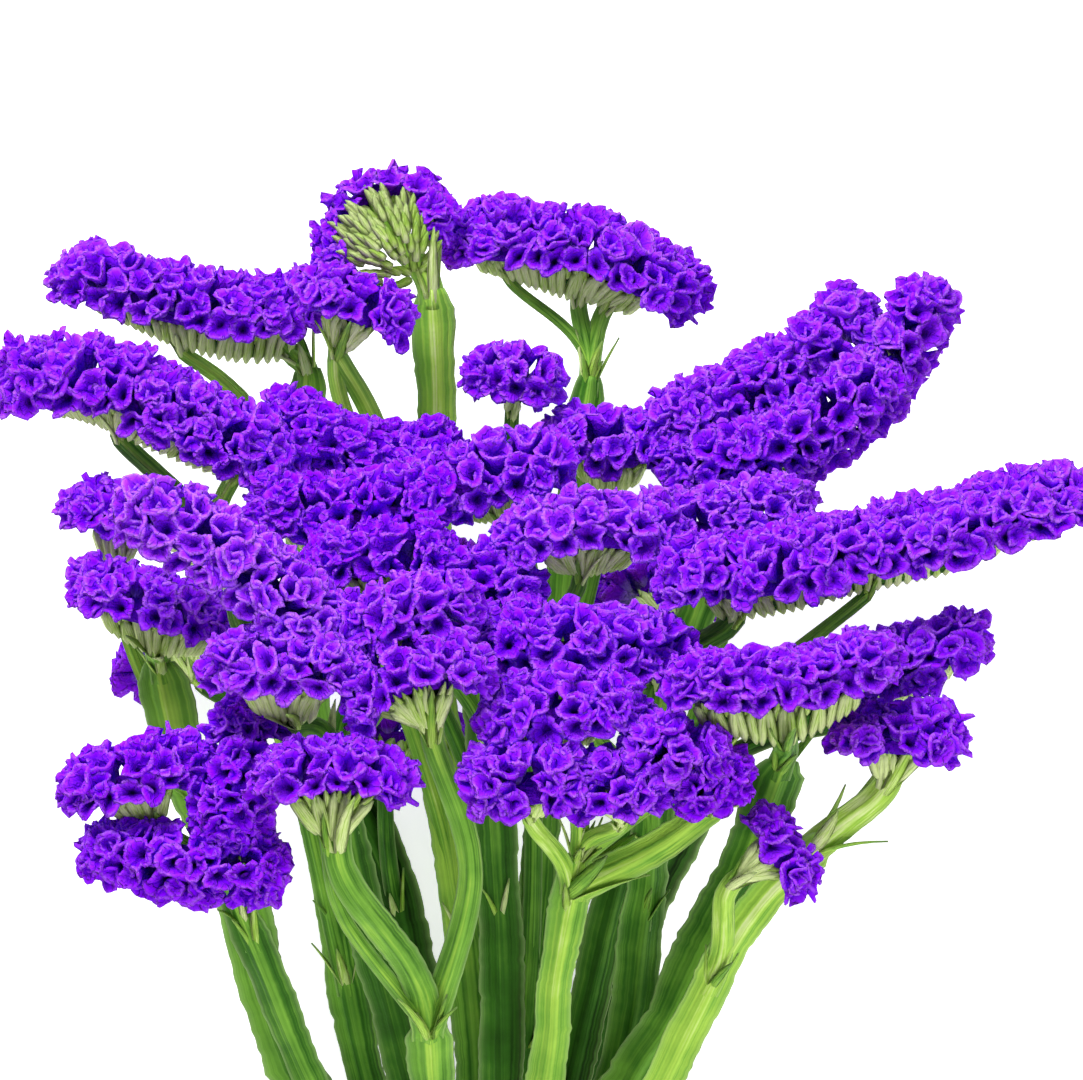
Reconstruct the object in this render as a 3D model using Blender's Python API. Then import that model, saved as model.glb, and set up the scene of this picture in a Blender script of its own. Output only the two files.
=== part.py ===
"""A cut bunch of statice, tied with twine and lying on a surface.

Frame: the bunch lies along +Y, its cut ends at -Y and its flowers at +Y, and +Z is up.
The origin is on the surface, under the middle of the tie.
Every stem grew with its branches and with the scaly combs that carry the flowers, so it is one green piece.
The papery violet flowers of a spike stand on its comb, and are one piece for each spike.
Tables are in millimetres, and the meshes are in metres.
"""

import math
import random

import bmesh
import bpy
import numpy as np

MM = 0.001
GAP = 0.3  # between one piece and the next
BOW_ROOM = 1.15  # a bent row of flowers needs a little more than its bow
CROWD_GAP = 0.75  # between a spike and what it gives way to
SEED = 7

# Tie: five turns of twine with a flat underside, and the stems' places inside it
TWINE_RADIUS = 1.5
TWINE_TURNS = 5
TWINE_PITCH = 2.7
TIE_HALF_STRAIGHT = 8.0
STEM_PITCH_X = 6.55
CUT_END_Y = -150.0
END_SPLAY_X = 1.9
END_SPLAY_Z = 1.5

# Stems: a round core with two wings
CORE_HALF = 1.9
CORE_HIGH = 2.25
WING_THICK = 0.9
TIE_HALF_WIDTH = 2.85
CUT_HALF_WIDTH = 3.8
WIDENING_Y = 24.0
WIDENED_Y = 65.0
TURNED_Y = 130.0
RING_STEP = 34.0
BRANCH_RING_STEP = 17.0

# The rows of stems in the tie, from the lowest
REAR_HEIGHT = 2 * TWINE_RADIUS + GAP + CORE_HIGH
ROW_SPACING = 2 * CORE_HIGH + 3 * GAP
ROWS = ("rear", "back", "middle", "front")

# Combs: the overlapping green bracts under a spike
COMB_DEPTH = 9.0
COMB_TAPER = 0.62
TAPERED_LENGTH = 46.0
COMB_HALF = 5.2
COMB_STEP = 6.2
COMB_NOTCH = 0.72

# Flowers: calyces in staggered rows of three and two, that stand out of a low core
REACH = 13.5
ARM_REACH = 14.5
WIDE_REACH = 16.0
TIP_TRIM = 4.0
FLOWER_STEP = 12.0
CORE_REACH = 4.6
SEAMS = 6
ROW_CELLS = (((0, 2), (2, 4), (4, 6)), ((0, 3), (3, 6)))
RIM_ANGLES = (210, 270, 330, 30, 90, 150)
RIM_FILL = 0.88
RIM_WAVE = 2.4
THROAT = 4.2
END_WRAP = 6.0
END_LEAN = 66.0

# How spikes give way to each other and to stalks
SITE_STEP = 3.0
SIGHT = 30.0
UPPER_SHARE = 0.16
UPPER_BY = 12.0
LEAST_ROOM = 0.5

# The twine's inner edge, from the middle of the underside round to the middle of the top: (x, z)
TIE_OUTLINE = [(0.0, 3.0), (5.5, 3.0), (10.6, 3.0), (13.6, 9.0),
               (16.9, 20.8), (16.8, 22.8), (15.2, 24.5), (6.0, 24.7)]

KNOT_X = 2.0
KNOT_Z = 28.5
KNOT_HALF = (4.6, 3.6, 2.6)
KNOT_ENDS = [[(0, 0, 0), (6, -5, 0.5), (11, -13, -1.0)], [(0, 0, 0), (-7, -4, 0.5), (-12, -13, -1.5)]]

VIOLET = (0.16, 0.012, 0.75, 1.0)
LEAF_GREEN = (0.16, 0.33, 0.07, 1.0)
TWINE_BROWN = (0.45, 0.31, 0.16, 1.0)


class Stem:
    """A stem: its row and place in the tie, its points above it, its half-width and its turn in degrees."""

    def __init__(self, row, column, route, wing=5.0, turn=0.0):
        self.row, self.column, self.route = row, column, route
        self.wing, self.turn = wing, turn


class Spike:
    """A flower spike: the line where comb and flowers meet, the way the flowers face, and its branches.

    joins lists, for each branch, the share of the stem's length where it leaves, the share of the spine
    where it arrives, its half-width, and any points that it passes on the way.
    """

    def __init__(self, stem, spine, faces, joins, reach=REACH, depth=COMB_DEPTH, fan=18.0, around=None):
        self.stem, self.spine, self.joins = stem, spine, joins
        self.faces = unit(np.array(faces, float))
        self.reach, self.depth, self.fan = reach, depth, fan
        self.around = None if around is None else np.array(around, float)


def unit(vector):
    return vector / np.maximum(np.linalg.norm(vector, axis=-1, keepdims=True), 1e-9)


STEMS = {}
SPIKES = {}
PATHS = {}
SITES = {}
STALKS = []


def list_stems():
    """The stems, row by row from the lowest, each from left to right."""
    STEMS["stem_rear_1"] = Stem("rear", -1, [(-16, 70, 10), (-25, 120, 14), (-42, 150, 17)], 7.0, 6)
    STEMS["stem_rear_2"] = Stem("rear", 1, [(24, 70, 10), (42, 120, 14), (58, 150, 17)], 7.0, -6)
    STEMS["stem_back_1"] = Stem(
        "back", -1.5, [(-31, 75, 24), (-42, 150, 40), (-44, 205, 48), (-43, 243, 52)], 5.0, 15)
    STEMS["stem_back_2"] = Stem(
        "back", -0.5, [(-3, 75, 25), (-11, 150, 40), (-14, 200, 47), (-12, 235, 50), (-13, 262, 57)], 5.0, 0)
    STEMS["stem_back_3"] = Stem(
        "back", 0.5, [(9, 75, 25), (15, 150, 40), (20, 200, 44), (25, 241, 45)], 4.5, -10)
    STEMS["stem_back_4"] = Stem(
        "back", 1.5, [(22, 75, 24), (40, 150, 40), (56, 200, 56), (64, 213, 61)], 5.0, -15)
    STEMS["stem_middle_1"] = Stem(
        "middle", -1.5, [(-47, 74, 44), (-59, 115, 60), (-72, 149, 72), (-77, 172, 80)], 6.5, 20)
    STEMS["stem_middle_2"] = Stem(
        "middle", -0.5, [(-20, 75, 46), (-30, 120, 78), (-36, 155, 108)], 5.0, -10)
    STEMS["stem_middle_3"] = Stem(
        "middle", 0.5, [(4, 75, 44), (3, 120, 62), (0, 160, 78), (-3, 176, 86)], 5.5, 5)
    STEMS["stem_middle_4"] = Stem(
        "middle", 1.5, [(32, 73, 44), (37, 105, 58), (40, 135, 76), (41, 168, 98)], 5.5, -20)
    STEMS["stem_front_1"] = Stem("front", -2, [(-41, 70, 60), (-52, 100, 80), (-59, 120, 94)], 4.5, 15)
    STEMS["stem_front_2"] = Stem("front", -1, [(-11, 45, 50), (-13, 87, 88)], 5.5, 0)
    STEMS["stem_front_3"] = Stem("front", 0, [(14, 70, 60), (17, 100, 82), (22, 128, 104)], 4.5, -10)
    STEMS["stem_front_4"] = Stem(
        "front", 1, [(33, 68, 50), (43, 86, 63), (52, 106, 77), (63, 132, 96), (69, 150, 110)], 6.5, -20)
    STEMS["stem_front_5"] = Stem(
        "front", 2, [(29, 42, 56), (43, 75, 78), (61, 113, 100), (78, 132, 109)], 5.0, -25)


def list_spikes():
    """The spikes, from the far left over the top to the right, then the front ones, then the rear ones."""
    far_up = (0.05, 0.88, 0.48)
    up = (0.0, 0.78, 0.62)
    SPIKES["spike_01"] = Spike(
        "stem_back_1",
        [(-98, 262, 54), (-89, 260, 56), (-78, 256.5, 58), (-65, 254, 58), (-54, 253.5, 57),
         (-42, 256, 56)],
        far_up, [(1.0, 0.97, 3.0, []), (0.93, 0.45, 2.2, [(-60, 238, 50)])], reach=ARM_REACH)
    SPIKES["spike_02"] = Spike(
        "stem_back_1",
        [(-108, 236.5, 80), (-99, 237.5, 82), (-88, 235.5, 84), (-77, 230, 84), (-65, 223.5, 84),
         (-50, 218, 82)],
        (-0.1, 0.8, 0.6), [(0.62, 0.36, 2.8, [(-58, 190, 58)]), (0.66, 0.92, 2.5, [])], reach=WIDE_REACH)
    SPIKES["spike_03"] = Spike(
        "stem_back_2", [(-31, 268.5, 57), (-33, 277, 55), (-27, 284, 54), (-18.5, 284, 55), (-14, 277, 57)],
        (0.0, 0.55, -0.83), [(1.0, 0.6, 3.5, [])], reach=9.0, fan=0, depth=9.0, around=(-24, 274, 56))
    SPIKES["spike_04"] = Spike(
        "stem_back_2", [(-41, 259, 72), (-33, 256, 72), (-24, 252, 72)],
        (0.2, 0.9, 0.4), [(0.72, 0.55, 3.0, [(-24, 222, 56)]), (0.78, 0.3, 2.4, [])], reach=12.0)
    SPIKES["spike_05"] = Spike(
        "stem_back_3",
        [(-6, 271.5, 45), (4, 271.5, 45), (18, 270, 45), (27, 268, 45), (36, 263.5, 45), (43, 259.5, 45)],
        (0.1, 0.88, 0.46), [(1.0, 0.12, 1.5, []), (1.0, 0.62, 2.6, []), (1.0, 0.84, 2.6, [])],
        reach=WIDE_REACH)
    SPIKES["spike_06"] = Spike(
        "stem_back_3", [(3, 240, 68), (7, 240.5, 68), (11, 239, 68)],
        (0, 0.75, 0.66), [(0.74, 0.5, 2.2, [])], reach=11.5)
    SPIKES["spike_07"] = Spike(
        "stem_back_3", [(19, 224.5, 66), (30, 221.5, 66), (42, 222.5, 66)],
        (0.1, 0.78, 0.62), [(0.7, 0.5, 2.2, [])])
    SPIKES["spike_08"] = Spike(
        "stem_back_2", [(-48, 229, 76), (-37, 222, 76), (-20, 218, 76), (-11, 221, 76)],
        (0, 0.8, 0.6), [(0.62, 0.55, 2.6, [])])
    SPIKES["spike_10"] = Spike(
        "stem_back_3", [(-11, 211, 90), (2, 214, 90), (16, 217, 90)],
        (0.1, 0.8, 0.6), [(0.58, 0.5, 2.5, [])], reach=ARM_REACH)
    SPIKES["spike_11"] = Spike(
        "stem_middle_3", [(-11, 190, 104), (-1, 189, 104), (9, 191, 104)],
        (0, 0.8, 0.6), [(1.0, 0.5, 2.4, [])], reach=ARM_REACH)
    SPIKES["spike_12"] = Spike(
        "stem_middle_3", [(-50, 206.5, 92), (-37, 204.5, 92), (-24, 206.5, 92), (-10, 208.5, 92)],
        up, [(0.8, 0.6, 2.4, [])], reach=ARM_REACH)
    SPIKES["spike_13"] = Spike(
        "stem_middle_3", [(-36, 194, 106), (-23, 195, 106), (-12, 196, 106)],
        (0, 0.9, 0.4), [(0.92, 0.5, 2.2, [])])
    SPIKES["spike_14"] = Spike(
        "stem_middle_3", [(10, 199, 106), (22, 202, 106), (40, 201, 104)],
        (0, 0.85, 0.5), [(0.92, 0.4, 2.4, [])])
    SPIKES["spike_15"] = Spike(
        "stem_middle_4", [(41, 202.5, 88), (56, 202.5, 88), (72, 207.5, 88)],
        (0.1, 0.78, 0.62), [(0.8, 0.5, 2.4, [])], reach=ARM_REACH)
    SPIKES["spike_16"] = Spike(
        "stem_back_4", [(50, 219, 72), (68, 223, 72), (83, 231, 71), (93, 239, 70)],
        (0.15, 0.3, 0.94), [(1.0, 0.4, 2.6, [])], reach=ARM_REACH)
    SPIKES["spike_17"] = Spike(
        "stem_back_4", [(46, 227, 68), (64, 234, 66), (79, 243, 64), (90, 253, 62)],
        (-0.38, 0.72, 0.58), [(1.0, 0.45, 2.4, [])], reach=ARM_REACH)
    SPIKES["spike_18"] = Spike(
        "stem_back_4", [(95, 246, 66), (100, 252, 65), (103, 259, 64)],
        (0.6, 0.1, 0.8), [(1.0, 0.3, 2.2, [(82, 230, 58)])])
    SPIKES["spike_19"] = Spike(
        "stem_middle_4",
        [(137, 208, 112), (129, 206, 112), (120, 203, 112), (108, 199, 112), (97, 197, 112),
         (85, 195, 112), (73, 192, 112), (60, 190, 112), (48, 190, 111)],
        (-0.15, 0.85, 0.5), [(1.0, 0.93, 3.2, []), (0.93, 0.55, 2.0, [(62, 168, 98)])],
        reach=WIDE_REACH, depth=6.5)
    SPIKES["spike_21"] = Spike(
        "stem_middle_4", [(40, 172.5, 114), (28, 173.5, 115), (14, 174.5, 115), (-3, 176.5, 114)],
        up, [(0.86, 0.45, 2.4, [])], reach=WIDE_REACH)
    SPIKES["spike_22"] = Spike(
        "stem_middle_2", [(-78, 207, 124), (-66, 201, 126), (-52, 191, 127), (-39, 180, 127)],
        (0.2, 0.5, 0.84), [(0.92, 0.6, 3.0, [])], reach=ARM_REACH)
    SPIKES["spike_23"] = Spike(
        "stem_middle_2", [(-58, 170, 132), (-45, 170, 133), (-32, 169, 133)],
        (-0.1, 0.85, 0.5), [(1.0, 0.6, 3.0, [])], depth=11.0, fan=10)
    SPIKES["spike_24"] = Spike(
        "stem_middle_2", [(-30, 178, 126), (-19, 182, 126), (-7, 185, 125)],
        (0.2, 0.8, 0.5), [(0.95, 0.35, 2.6, [])])
    SPIKES["spike_25"] = Spike(
        "stem_middle_1", [(-94, 206, 82), (-87, 204, 82), (-79, 203, 82)],
        (0, 0.9, 0.4), [(0.9, 0.5, 2.0, [])])
    SPIKES["spike_26"] = Spike(
        "stem_middle_1", [(-93, 188, 92), (-84, 185, 93), (-72, 182, 94), (-60, 179, 94)],
        (0, 0.85, 0.5), [(1.0, 0.5, 3.0, [])])
    SPIKES["spike_28"] = Spike(
        "stem_front_2", [(-24, 162, 134), (-19, 167, 134), (-11.5, 169, 134), (-3.5, 168.5, 133)],
        (-0.1, 0.95, 0.3), [(1.0, 0.75, 3.4, [(-3, 125, 114)])], depth=12.0, fan=8)
    SPIKES["spike_29"] = Spike(
        "stem_front_3", [(5, 160, 128), (18, 161, 128), (31, 162, 128)],
        up, [(1.0, 0.5, 2.4, [])])
    SPIKES["spike_30"] = Spike(
        "stem_front_3", [(2, 145.5, 132), (11, 144.5, 132), (19, 146, 132)],
        (-0.2, 0.6, 0.77), [(0.95, 0.5, 2.4, [])])
    SPIKES["spike_31"] = Spike(
        "stem_front_3", [(28, 143, 130), (34, 144, 130)],
        (0, 0.75, 0.66), [(1.0, 0.5, 2.4, [])])
    SPIKES["spike_32"] = Spike(
        "stem_front_3", [(40, 152, 130), (48, 152, 129)],
        (0.2, 0.7, 0.68), [(1.0, 0.4, 2.2, [(34, 138, 112)])])
    SPIKES["spike_38"] = Spike(
        "stem_front_3", [(50, 145, 128), (55, 147, 127)],
        (0.3, 0.6, 0.74), [(0.97, 0.5, 4.5, [(38, 130, 108)])], reach=10.5)
    SPIKES["spike_33"] = Spike(
        "stem_front_4", [(46, 166, 130), (56, 165, 130), (72, 166, 129), (91, 171, 126)],
        (0.05, 0.92, 0.4), [(1.0, 0.5, 3.4, [])], depth=11.0, fan=10)
    SPIKES["spike_34"] = Spike(
        "stem_front_5", [(89, 171, 104), (101, 172, 104), (113, 178, 104)],
        (0.2, 0.7, 0.68), [(1.0, 0.4, 1.6, [])], reach=12.0)
    SPIKES["spike_35"] = Spike(
        "stem_front_5", [(86, 155, 118), (95, 154, 118), (104, 153.5, 117)],
        (0.05, 0.9, 0.45), [(1.0, 0.5, 4.0, [])])
    SPIKES["spike_36"] = Spike(
        "stem_front_5", [(63, 134, 119), (66, 129, 119), (69, 124, 118)],
        (0.75, 0.6, 0.2), [(0.86, 0.5, 3.0, [])], reach=10.0, depth=10.0)
    SPIKES["spike_37"] = Spike(
        "stem_front_1", [(-90, 142, 120), (-81, 144, 121), (-69, 147, 121)],
        (-0.2, 0.85, 0.5), [(1.0, 0.7, 2.6, [])])
    SPIKES["spike_40"] = Spike(
        "stem_front_1", [(-59, 139, 122), (-55, 150, 122), (-54, 163, 121)],
        (0.1, 0.1, 1.0), [(0.95, 0.35, 3.0, [])])
    SPIKES["spike_39"] = Spike(
        "stem_front_1", [(-86, 132, 116), (-75, 129, 118), (-62, 127, 119), (-52, 127, 119)],
        (0, 0.1, 0.99), [(0.97, 0.7, 2.4, [])])
    SPIKES["spike_41"] = Spike(
        "stem_front_2", [(-46, 143.5, 136), (-38, 145, 138), (-30, 145, 138), (-23, 143.5, 137)],
        (0, 0.97, 0.25), [(1.0, 0.3, 2.0, [(-32, 115, 118)]), (1.0, 0.62, 4.2, [])], fan=10, depth=12.0)
    down = (0.0, 0.65, -0.76)
    SPIKES["spike_51"] = Spike(
        "stem_rear_1", [(-86, 168, 12), (-74, 173, 12), (-60, 172, 12)],
        down, [(1.0, 0.6, 2.6, [])])
    SPIKES["spike_52"] = Spike(
        "stem_rear_1", [(-36, 191, 22), (-22, 193, 22), (-8, 193, 22)],
        down, [(0.95, 0.5, 2.4, [])])
    SPIKES["spike_53"] = Spike(
        "stem_rear_1", [(-34, 152, 18), (-22, 150, 18), (-10, 148, 18)],
        down, [(0.85, 0.3, 2.4, [])])
    SPIKES["spike_54"] = Spike(
        "stem_rear_2", [(8, 160, 18), (20, 164, 18), (34, 166, 18)],
        down, [(0.85, 0.7, 2.4, [])])
    SPIKES["spike_55"] = Spike(
        "stem_rear_2", [(34, 187, 22), (46, 189, 22), (60, 189, 22)],
        down, [(1.0, 0.5, 2.4, [])])
    SPIKES["spike_56"] = Spike(
        "stem_rear_2", [(84, 162, 12), (96, 166, 12), (108, 172, 12)],
        down, [(0.97, 0.3, 2.6, [])])


def smooth(points, step):
    """The points of a Catmull-Rom curve through the given points, about step apart."""
    points = np.array(points, float)
    ends = np.vstack([2 * points[0] - points[1], points, 2 * points[-1] - points[-2]])
    runs = []
    for i in range(len(points) - 1):
        before, start, end, after = ends[i:i + 4]
        count = max(1, round(np.linalg.norm(end - start) / step))
        t = (np.arange(count) / count)[:, None]
        bend = 2 * before - 5 * start + 4 * end - after
        twist = 3 * start - before - 3 * end + after
        runs.append(0.5 * (2 * start + (end - before) * t + bend * t ** 2 + twist * t ** 3))
    return np.vstack(runs + [points[-1:]])


def length_of(path):
    return np.linalg.norm(np.diff(path, axis=0), axis=1).sum()


def at_share(path, share):
    """The point at a share of the path's length."""
    lengths = np.concatenate([[0], np.cumsum(np.linalg.norm(np.diff(path, axis=0), axis=1))])
    return np.array([np.interp(share * lengths[-1], lengths, path[:, k]) for k in range(3)])


def even(path, step, least=2):
    """The path again, with its points evenly spaced, about step apart."""
    count = max(least, round(length_of(path) / step) + 1)
    return np.array([at_share(path, share) for share in np.linspace(0, 1, count)])


def tie_place(stem):
    """Where the stem passes the tie: (x, z)."""
    return stem.column * STEM_PITCH_X, REAR_HEIGHT + ROWS.index(stem.row) * ROW_SPACING


def stem_path(stem):
    """From the cut end, straight through the tie, to the stem's last node."""
    x, z = tie_place(stem)
    cut_y = CUT_END_Y + 5 * math.sin(3 * stem.column + z)
    cut = (x * END_SPLAY_X, cut_y, REAR_HEIGHT + (z - REAR_HEIGHT) * END_SPLAY_Z)
    halfway = tuple(0.5 * (a + b) for a, b in zip(cut, (x, -TIE_HALF_STRAIGHT, z)))
    start, end = (x, -TIE_HALF_STRAIGHT, z), (x, TIE_HALF_STRAIGHT, z)
    below = smooth([cut, halfway, start], RING_STEP)[:-1]
    above = smooth([end] + stem.route, RING_STEP)
    return np.vstack([below, [start], above])


def spine_of(spike):
    """The spine, from which the flowers at its ends still stand out to the spike's full length."""
    path = smooth(spike.spine, 2.0)
    trim = min(TIP_TRIM / length_of(path), 0.2)
    return np.array([at_share(path, share) for share in np.linspace(trim, 1 - trim, len(path))])


def heading_at(spine, share):
    """The way that the spine runs at a share of its length."""
    return unit(at_share(spine, min(share + 0.05, 1)) - at_share(spine, max(share - 0.05, 0)))


def facing_at(spike, share):
    """The way the flowers face at a share of the spine, at right angles to it but fanned out at its ends."""
    spine = spine_of(spike)
    along = heading_at(spine, share)
    faces = spike.faces if spike.around is None else unit(at_share(spine, share) - spike.around)
    upright = unit(faces - along * np.dot(faces, along))
    lean = math.radians(spike.fan) * (2 * share - 1)
    return unit(upright * math.cos(lean) + along * math.sin(lean))


def bow(spike, shares, sign):
    """How far the spine stands out from straight lines between its points at these shares: the way the
    flowers face with sign 1, or away with sign -1."""
    spine = spine_of(spike)
    most = 0.0
    for a, b in zip(shares, shares[1:]):
        middle = (a + b) / 2
        chord = (at_share(spine, a) + at_share(spine, b)) / 2
        most = max(most, sign * np.dot(at_share(spine, middle) - chord, facing_at(spike, middle)))
    return BOW_ROOM * most


def comb_depth(spike, share):
    """Deep where its broadest branch arrives, and shallow towards the tips."""
    if spike.around is not None:
        return spike.depth
    root = max(spike.joins, key=lambda join: join[2])[1]
    off = abs(share - root) / max(root, 1 - root)
    taper = COMB_TAPER * min(1, length_of(spine_of(spike)) / TAPERED_LENGTH)
    return spike.depth * (1 - taper * off ** 1.5)


def branch_path(spike, join):
    """From the stem, along its run, to the underside of the comb."""
    leaves, arrives, _, through = join
    stem = PATHS[spike.stem]
    start = at_share(stem, leaves)
    run = heading_at(stem, leaves)
    facing = facing_at(spike, arrives)
    foot = at_share(spine_of(spike), arrives) - facing * (comb_depth(spike, arrives) - 2.5)
    if through:
        return smooth([start - 3 * run, start] + list(through) + [foot - 3 * facing, foot + facing], 6.0)
    pull = 0.45 * np.linalg.norm(foot - start)
    t = np.linspace(0, 1, 8)[:, None]
    a, b, c, d = start, start + pull * run, foot - 0.6 * pull * facing, foot + facing
    curve = a * (1 - t) ** 3 + 3 * b * t * (1 - t) ** 2 + 3 * c * t ** 2 * (1 - t) + d * t ** 3
    return np.vstack([start - 3 * run, curve])


def lay_out():
    """Works out the paths of all stems, spines and stalks, before anything is made."""
    list_stems()
    list_spikes()
    for name, stem in STEMS.items():
        PATHS[name] = stem_path(stem)
        STALKS.append((name, name, even(PATHS[name], SITE_STEP), stem.wing))
    for name, spike in SPIKES.items():
        SITES[name] = even(spine_of(spike), SITE_STEP)
        for join in spike.joins:
            STALKS.append((name, spike.stem, even(branch_path(spike, join), SITE_STEP), join[2]))


def crowd_of(name, of_comb):
    """What a spike gives way to: (points of other spikes' spines, points of stalks, stalks' half-widths).

    A comb may run into its own stem and that stem's branches, which it is one piece with. Flowers may not.
    """
    spines = [points for other, points in SITES.items() if other != name]
    stalks, radii = [], []
    for owner, stem, points, radius in STALKS:
        if owner != name and not (of_comb and stem == SPIKES[name].stem):
            stalks.append(points)
            radii.append(np.full(len(points), radius))
    return np.vstack(spines), np.vstack(stalks), np.concatenate(radii)


def give_way(points, origin, crowd):
    """Draws points in towards origin, so that none passes the plane between it and another spine, nor the
    near side of another stalk, nor the surface that the bunch lies on. The plane lies half-way, or nearer
    to the lower spine, because the spikes on top grew freely."""
    spines, stalks, radii = crowd
    out = points - origin
    share = np.ones(len(points))
    above = np.clip((origin[2] - spines[:, 2]) / UPPER_BY, -1, 1)
    halfway = np.linalg.norm(spines - origin, axis=1) * (0.5 + UPPER_SHARE * above) - CROWD_GAP / 2
    beside = np.linalg.norm(stalks - origin, axis=1) - radii - CROWD_GAP
    for others, limit in ((spines, halfway), (stalks, beside)):
        near = limit < SIGHT
        toward = out @ unit(others[near] - origin).T
        room = np.maximum(limit[near], LEAST_ROOM)
        allowed = np.where(toward > 1e-6, room / np.maximum(toward, 1e-6), 1.0)
        share = np.minimum(share, allowed.min(axis=1, initial=1.0))
    moved = origin + out * share[:, None]
    moved[:, 2] = np.maximum(moved[:, 2], 0.0)
    return moved


def new_object(name, bm):
    """A mesh object with its faces out, in metres, from a bmesh in millimetres."""
    bmesh.ops.triangulate(bm, faces=bm.faces[:])
    bmesh.ops.scale(bm, vec=(MM, MM, MM), verts=bm.verts)
    if bm.calc_volume(signed=True) < 0:
        bmesh.ops.reverse_faces(bm, faces=bm.faces[:])
    mesh = bpy.data.meshes.new(name)
    bm.to_mesh(mesh)
    bm.free()
    obj = bpy.data.objects.new(name, mesh)
    bpy.context.scene.collection.objects.link(obj)
    return obj


def skinned(name, rings, closed=False):
    """One closed skin over rings of points. A closed run of rings has no ends to cap."""
    bm = bmesh.new()
    rows = [[bm.verts.new(point) for point in ring] for ring in rings]
    count = len(rows[0])
    for low, high in zip(rows, rows[1:] + rows[:1] if closed else rows[1:]):
        for k in range(count):
            bm.faces.new((low[k], low[(k + 1) % count], high[(k + 1) % count], high[k]))
    if not closed:
        bm.faces.new(rows[0][::-1])
        bm.faces.new(rows[-1])
    return new_object(name, bm)


def sides_of(path):
    """For each point of a path: its side and its lift, at right angles to its run."""
    along = unit(np.gradient(path, axis=0))
    side = unit(np.cross(along, np.array([0.0, 0.0, 1.0])))
    return side, np.cross(side, along)


def stem_rings(path, halves, turns):
    """Rings of a stem: a round core with a thin wing on each side, turned about the path by degrees."""
    side, lift = sides_of(path)
    turn = np.radians(turns)[:, None]
    wide, high = side * np.cos(turn) + lift * np.sin(turn), lift * np.cos(turn) - side * np.sin(turn)
    rings = []
    for point, across, raised, half in zip(path, wide, high, halves):
        edge = raised * WING_THICK / 2
        core, top = across * CORE_HALF, raised * CORE_HIGH
        out = across * half
        near = [out - edge, out + edge, core + top, top - core]
        far = [edge - out, -edge - out, -core - top, core - top]
        rings.append(point + np.array(near + far))
    return rings


def make_stem(name, stem):
    """The main stem: slim in the tie, and widest above it."""
    path = PATHS[name]
    y = path[:, 1]
    marks = [CUT_END_Y, -TIE_HALF_STRAIGHT, WIDENING_Y, WIDENED_Y]
    halves = np.interp(y, marks, [CUT_HALF_WIDTH, TIE_HALF_WIDTH, TIE_HALF_WIDTH, stem.wing])
    halves[-1] *= 0.7
    turns = stem.turn * np.interp(y, [TIE_HALF_STRAIGHT, TURNED_Y], [0, 1])
    return skinned(name, stem_rings(path, halves, turns))


def make_branch(name, path, half):
    """A branch: a four-sided blade, thick along its middle and thin at its two wings."""
    points = even(path, BRANCH_RING_STEP, 3)
    side, lift = sides_of(points)
    rings = []
    for point, across, raised, width in zip(points, side, lift, half * np.linspace(1.0, 0.8, len(points))):
        thick = raised * max(0.55 * width, 1.1)
        rings.append(point + np.array([across * width, thick, -across * width, -thick]))
    return skinned(name, rings)


def make_comb(name, spike):
    """The bracts under the flowers: a keel up to the flowers, notched across between bracts."""
    path = even(spine_of(spike), COMB_STEP, 3)
    crowd = crowd_of(name, True)
    top = -GAP / 2 - bow(spike, np.linspace(0, 1, len(path)), -1)
    rings = []
    for i, point in enumerate(path):
        share = i / (len(path) - 1)
        facing = facing_at(spike, share)
        side = unit(np.cross(heading_at(path, share), facing))
        half, deep = COMB_HALF, comb_depth(spike, share)
        if i % 2:
            half, deep = COMB_NOTCH * half, 0.9 * deep
        if i in (0, len(path) - 1):
            half, deep = 0.6 * half, 0.6 * deep
        outline = [(-half, top), (-0.85 * half, -0.45 * deep), (0, -deep),
                   (0.85 * half, -0.45 * deep), (half, top)]
        ring = np.array([point + side * x + facing * n for x, n in outline])
        rings.append(give_way(ring, point - 1.5 * facing, crowd))
    return skinned(name + "_comb", rings)


def seam_lines(spike):
    """The lines between rows of flowers: (shares of the spine, lean out past its ends, its length)."""
    length = length_of(spine_of(spike))
    rows = max(3, round((length + 2 * END_WRAP) / FLOWER_STEP))
    places = np.linspace(-END_WRAP, length + END_WRAP, rows + 1)
    leans = END_LEAN * (np.minimum(places, 0) + np.maximum(places - length, 0)) / END_WRAP
    return np.clip(places / length, 0, 1), leans, length


def row_frame(spike, share, lean, lift):
    """At a share of the spine: the point, the way up through the row, the side, and the way across it."""
    spine = spine_of(spike)
    along = heading_at(spine, share)
    facing = facing_at(spike, share)
    side = unit(np.cross(along, facing))
    turn = math.radians(lean)
    upright = unit(facing * math.cos(turn) + along * math.sin(turn))
    return at_share(spine, share) + facing * lift, upright, side, unit(np.cross(upright, side))


def cell_rim(spike, frame, low, high, step, rng):
    """The rim and the axis of one calyx, which stands over its row between two seams, low and high."""
    point, upright, side, across = frame
    turn = math.radians(180 * (low + high) / 2 / SEAMS - 90 + rng.uniform(-2, 2))
    axis = unit(upright * math.cos(turn) + side * math.sin(turn) + across * rng.uniform(-0.06, 0.06))
    reach = spike.reach * rng.uniform(0.86, 1.0)
    sideways = unit(side - axis * np.dot(side, axis))
    half_wide = RIM_FILL * reach * math.sin(math.pi * (high - low) / 2 / SEAMS)
    half_wide = min(half_wide, RIM_FILL * 6.2)
    rim = []
    for k, degrees in enumerate(RIM_ANGLES):
        angle = math.radians(degrees)
        lift = RIM_WAVE * (k % 2) * rng.uniform(0.6, 1.2)
        rim.append(point + axis * (reach - lift) + sideways * half_wide * math.cos(angle)
                   + np.cross(sideways, axis) * -0.5 * RIM_FILL * step * 0.98 * math.sin(angle))
    return np.array(rim), axis


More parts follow.
